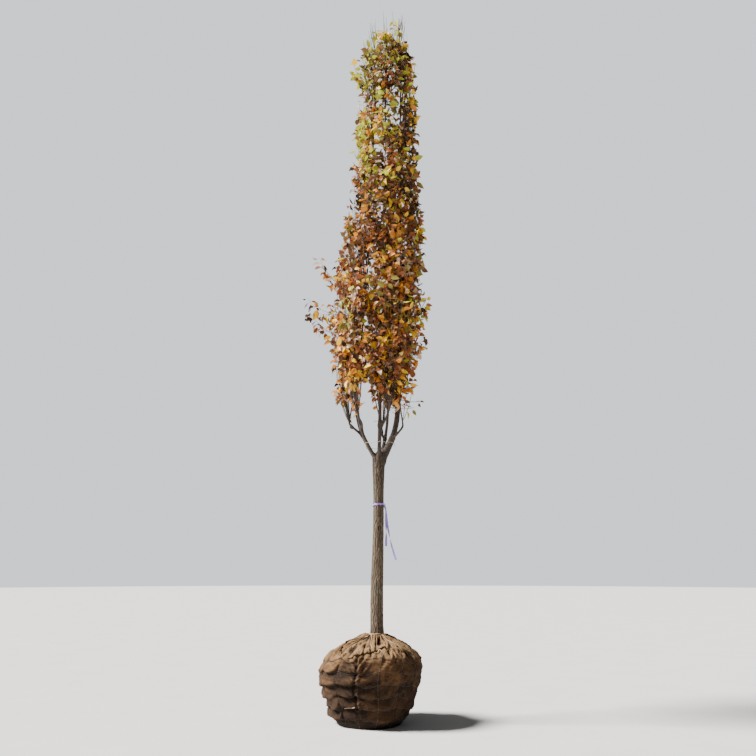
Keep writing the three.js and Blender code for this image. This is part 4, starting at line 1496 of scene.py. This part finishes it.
def leafArrays(roots, headings, faces, sizes, dry, random):
    # every leaf at once: a stalk, and a blade that is folded and curled, a dry one most
    count = len(roots)
    along, half = np.array(leafShape["along"]), np.array(leafShape["half"])
    length = sizes[:, None]
    width = length * random.uniform(*leafShape["aspect"], (count, 1))
    mostBent = 0.35 + 0.9 * dry
    ranges = ((0.05, mostBent), (-0.25, mostBent), (-0.5, 0.5), (-0.12, 0.12))
    fold, curl, twist, ripple = [random.uniform(low, high, (count, 1)) for low, high in ranges]
    across = unit(np.cross(faces, headings))
    faces = np.cross(headings, across)
    bend = curl * along[None] ** 1.6 * 1.5
    gaps = np.diff(along, prepend=0)[None]
    x, z = [np.cumsum(gaps * step, 1) * length for step in (np.cos(bend), -np.sin(bend))]
    turn = twist * along[None]
    stalkTip = roots + headings * leafShape["stalk"] + upward * -0.006
    rows = []
    for side in (-1, 0, 1):
        out = half[None] * width * side
        rise = np.abs(out) * fold + ripple * abs(side) * np.sin(along[None] * 9) * width * 0.5
        y = out * np.cos(turn) - rise * np.sin(turn) * side
        up = z + rise + out * np.sin(turn)
        back = -leafShape["lobes"] * abs(side) * length * (along[None] < 0.1)
        steps = ((headings, x + back), (across, y), (faces, up))
        rows.append(stalkTip[:, None] + sum(way[:, None] * step[..., None] for way, step in steps))
    left, middle, right = rows
    points = np.concatenate([middle, left[:, 1:-1], right[:, 1:-1]], 1)
    n = len(along)
    triangles, quads = [], []
    for offset, order in ((n, 1), (2 * n - 2, -1)):
        edge = [offset + k for k in range(n - 2)]
        triangles += [face[::order] for face in ((0, 1, edge[0]), (n - 2, n - 1, edge[-1]))]
        quads += [(k + 1, k + 2, edge[k + 1], edge[k])[::order] for k in range(n - 3)]
    shift = (np.arange(count) * points.shape[1])[:, None, None]
    faces = [(np.array(block)[None] + shift).reshape(-1, len(block[0])) for block in (quads, triangles)]
    lines = np.stack([roots, stalkTip + headings * 0.004], 1)
    return (points.reshape(-1, 3), *faces), manyTubes(lines, np.tile(leafShape["stalkRadii"], (count, 1)), 3)


tints = {
    "orange": (0.56, 0.215, 0.025),
    "rust": (0.28, 0.09, 0.028),
    "brown": (0.165, 0.08, 0.036),
    "dark_brown": (0.046, 0.018, 0.007),
    "gold": (0.74, 0.44, 0.028),
    "olive": (0.22, 0.175, 0.03),
    "lime": (0.42, 0.43, 0.04),
    "tan": (0.56, 0.39, 0.24),
}
dryness = dict(zip(tints, (0.6, 0.9, 1.0, 1.0, 0.3, 0.1, 0.0, 1.0)))
# Shares of the tints at heights up the crown, in the order of the list above
tintHeights = [2.8, 4.4, 5.1, 5.7, 6.3, 6.9, 7.6, 8.2]
tintShares = np.array([
    [0.22, 0.25, 0.19, 0.09, 0.14, 0.04, 0.02, 0.05],
    [0.15, 0.30, 0.24, 0.13, 0.08, 0.03, 0.02, 0.05],
    [0.11, 0.30, 0.27, 0.14, 0.06, 0.05, 0.02, 0.05],
    [0.08, 0.24, 0.30, 0.14, 0.09, 0.07, 0.03, 0.05],
    [0.05, 0.16, 0.25, 0.13, 0.12, 0.12, 0.13, 0.04],
    [0.04, 0.10, 0.28, 0.14, 0.10, 0.13, 0.17, 0.04],
    [0.02, 0.06, 0.23, 0.13, 0.10, 0.18, 0.26, 0.02],
    [0.02, 0.06, 0.22, 0.12, 0.10, 0.19, 0.27, 0.02],
])
# How much more of each there is on the left of the upper crown
greens = np.array([0.8, 0.9, 0.75, 0.5, 1.1, 1.4, 1.9, 1.0])


def pickTint(place, random):
    shares = np.array([np.interp(place[2], tintHeights, column) for column in tintShares.T])
    side = np.clip((crownAxisX(place[2]) - place[0]) / 0.3, -1, 1) * smoothStep(place[2], 5.4, 6.6)
    shares = shares * greens**side
    return int(np.searchsorted(np.cumsum(shares / shares.sum()), random.rand()))


def leafMaterial(name, base):
    # its plain colour on top, and light that comes through the blade
    look = {"through": 0.24, "brighter": 1.25}
    skin = Surface(name)
    body = skin.placed()
    roughness = skin.span(skin.noise(body, 55, 3), 0.3, 0.7, 0.32, 0.56)
    skin.finish(base, roughness, skin.noise(body, 160, 4, 0.6), 0.0015, 0.5)
    glow = skin.node("BsdfTranslucent", Color=[min(1, value * look["brighter"]) for value in base])
    both = skin.node("MixShader")
    for socket, value in zip(both.inputs, (look["through"], skin.shader.outputs[0], glow.outputs[0])):
        skin.feed(socket, value)
    skin.feed(skin.tree.nodes["Material Output"].inputs["Surface"], both.outputs[0])
    return skin.material


twigLook = {
    "dark": (0.35, (0.03, 0.018, 0.011)),
    "pale": (0.7, (0.13, 0.088, 0.06)),
    "noise": (120, 4, 0.6),
    "roughness": (0.6, 0.9),
    "relief": (0.0006, 0.5),
    "stretch": (1, 1, 0.3),
}


def growTwigs(layer, masses, random):
    # stems, twigs and shoots as tubes, and with them the lines that bear leaves: fine twigs, and stray ones
    tubes, fine, stray = [], [], []
    spacing = finer["spacing"][layer]
    for mass in masses:
        limb = next(one for one in limbs if one["name"] == mass["limb"])
        stem = massStem(mass, limb)
        tubes.append(oneTube(stem, np.linspace(limb["thin"], foliage["stemTip"], len(stem)), 10))
        bearers = [(stem, spacing, 0.0, False)]
        if layer != "top":
            bearers.append((limb["line"][int(len(limb["line"]) * 0.45):], finer["limbSpacing"], 0.0, False))
        for line, isStray in massTwigs(mass, stem):
            isThin = isStray or line[0, 2] < finer["clearBelow"]
            radii = np.linspace(foliage["twigRadius"], foliage["twigTipRadius"], len(line))
            tubes.append(oneTube(line, radii * (foliage["thinned"] if isThin else 1), 7))
            bearers.append((line, finer["straySpacing"] if isStray else spacing, 0.12, isStray))
            if isStray:
                stray.append(line[4:])
        fine += fineTwigs(mass, bearers, random)
        for line, isStout, isBare in makeWhips(mass, stem, limb, random):
            thick = whips["stoutRadius" if isStout else "radius"]
            tubes.append(oneTube(line, np.linspace(thick, whips["tip"], len(line)), 6))
            if not isBare:
                leafy = whips["twigSpacing"][layer] * (0.8 if isStout else 1)
                fine += fineTwigs(mass, [(line, leafy, whips["leafyFrom"], False)], random)
    lines = np.array(fine)
    taper = np.linspace(finer["radius"], finer["tip"], lines.shape[1])
    tubes.append(manyTubes(lines, np.tile(taper, (len(lines), 1)), 5))
    return tubes, fine, stray


def placeLeaves(fine, stray, random):
    # the root, heading, facing, length and tint of every leaf
    leaves = []
    for line, isStray in [(line, False) for line in fine] + [(line, True) for line in stray]:
        count = max(1, int(lineLength(line) / leafShape["straySpacing" if isStray else "spacing"]))
        sprayTint = pickTint(line[-1], random)
        tangents = tangentsOf(line)
        for i in range(count + 1):
            isTip = i == count
            along = 1.0 if isTip else (i + 0.6) / count * 0.95
            root = alongLine(line, along)
            tangent = unit(alongLine(tangents, along))
            side = unit(np.cross(tangent, upward + 0.01)) * (1 if i % 2 else -1)
            heading = side * random.uniform(*leafShape["aside"])
            heading = heading + tangent * random.uniform(*leafShape["forward"])
            heading = heading + random.normal(0, leafShape["scatter"], 3)
            heading[2] -= random.uniform(*leafShape["strayDroop" if isStray else "droop"])
            facing = unit(awayFromAxis(root, 0.01)) * leafShape["faceOut"] + upward * leafShape["faceUp"]
            facing = facing + random.normal(0, leafShape["faceScatter"], 3)
            share = leafShape["strayShare"] if isStray else leafShape["tipShare"] if isTip else 1
            size = random.uniform(*leafShape["length"]) * share
            tint = sprayTint if random.rand() < leafShape["sprayShare"] else pickTint(root, random)
            leaves.append((root, unit(heading), unit(facing), size, tint))
    return [np.array(column) for column in zip(*leaves)]


def growLayer(layer, masses, seed, materials, twigBark):
    random = np.random.RandomState(seed)
    names, slot = [mass["name"] for mass in masses], layer + "_leaves"
    tubes, fine, stray = growTwigs(layer, masses, random)
    addPiece(joinTubes("twigs_" + layer, tubes), twigBark, names)
    *places, sizes, kinds = placeLeaves(fine, stray, random)
    fresh, lost = leafShape["drySize"]
    for k, tint in enumerate(tints):
        chosen = kinds == k
        grown = sizes[chosen] * (fresh - lost * dryness[tint])
        leaves = leafArrays(*[values[chosen] for values in places], grown, dryness[tint], random)
        addPiece(joinTubes("leaves_" + layer + "_" + tint, leaves), materials[tint], names)
    print(layer, "layer:", len(fine), "fine twigs,", len(kinds), "leaves")


def makeFoliage():
    materials = {tint: leafMaterial("leaf_" + tint, base) for tint, base in tints.items()}
    twigBark = plainMaterial("twig_bark", **twigLook)
    masses = makeMasses()
    for layer, seed in {"low": 47, "mid": 42, "top": 43}.items():
        growLayer(layer, [mass for mass in masses if mass["layer"] == layer], seed, materials, twigBark)


makeFoliage()
print("foliage done")


# Floor, light and camera

studio = {
    "floor": (0.66, 0.64, 0.61),
    "floorRadius": 60,
    "sky": (0.86, 0.91, 0.96),
    "skyStrength": 0.16,
    "backdrop": 1.25,  # how bright the sky looks behind the tree
    "key": 15.5,
    "keySoftness": 17,
    "keyPlace": (-8.5, -3.5, 11.5),
    "keyAim": (0.1, 0, 3.5),
    "eye": (2.128, -7.76, 1.5),
    "aim": (0.09, 0.0),
    "pitch": 14.3,
    "sensor": 36,
    "focalPixels": 745,
    "imagePixels": 756,
}


def makeFloor():
    form = bmesh.new()
    bmesh.ops.create_circle(form, cap_ends=True, segments=96, radius=studio["floorRadius"])
    floor = addObject("floor", meshFromForm("floor", form))
    skin = Surface("studio_floor")
    shade = tuple(value * 0.94 for value in studio["floor"])
    colour = skin.ramp(skin.noise(skin.placed(), 1.5, 3), (0.3, shade), (0.7, studio["floor"]))
    floor.data.materials.append(skin.finish(colour, 0.9))


def makeSky():
    # a dim sky lights the tree, and a brighter one shows behind it
    world = bpy.data.worlds.new("studio")
    world.use_nodes = True
    nodes, join = world.node_tree.nodes, world.node_tree.links.new
    both = nodes.new("ShaderNodeMixShader")
    join(nodes.new("ShaderNodeLightPath").outputs["Is Camera Ray"], both.inputs[0])
    skies = (nodes["Background"], nodes.new("ShaderNodeBackground"))
    for index, (sky, strength) in enumerate(zip(skies, ("skyStrength", "backdrop"))):
        sky.inputs["Color"].default_value = (*studio["sky"], 1)
        sky.inputs["Strength"].default_value = studio[strength]
        join(sky.outputs[0], both.inputs[index + 1])
    join(both.outputs[0], nodes["World Output"].inputs["Surface"])
    bpy.context.scene.world = world


def place(item, spot, target):
    item.location = spot
    item.rotation_euler = (target - item.location).to_track_quat("-Z", "Y").to_euler()


def makeLight():
    lamp = bpy.data.lights.new("key", "SUN")
    lamp.energy = studio["key"]
    lamp.angle = math.radians(studio["keySoftness"])
    place(addObject("key", lamp), studio["keyPlace"], Vector(studio["keyAim"]))


def makeCamera():
    lens = bpy.data.cameras.new("camera")
    lens.sensor_width = studio["sensor"]
    lens.lens = studio["sensor"] * studio["focalPixels"] / studio["imagePixels"]
    lens.clip_end = 200
    camera = addObject("camera", lens)
    eye, aim = studio["eye"], studio["aim"]
    level = math.hypot(aim[0] - eye[0], aim[1] - eye[1])
    place(camera, eye, Vector((*aim, eye[2] + level * math.tan(math.radians(studio["pitch"])))))
    bpy.context.scene.camera = camera


makeFloor()
makeSky()
makeLight()
makeCamera()
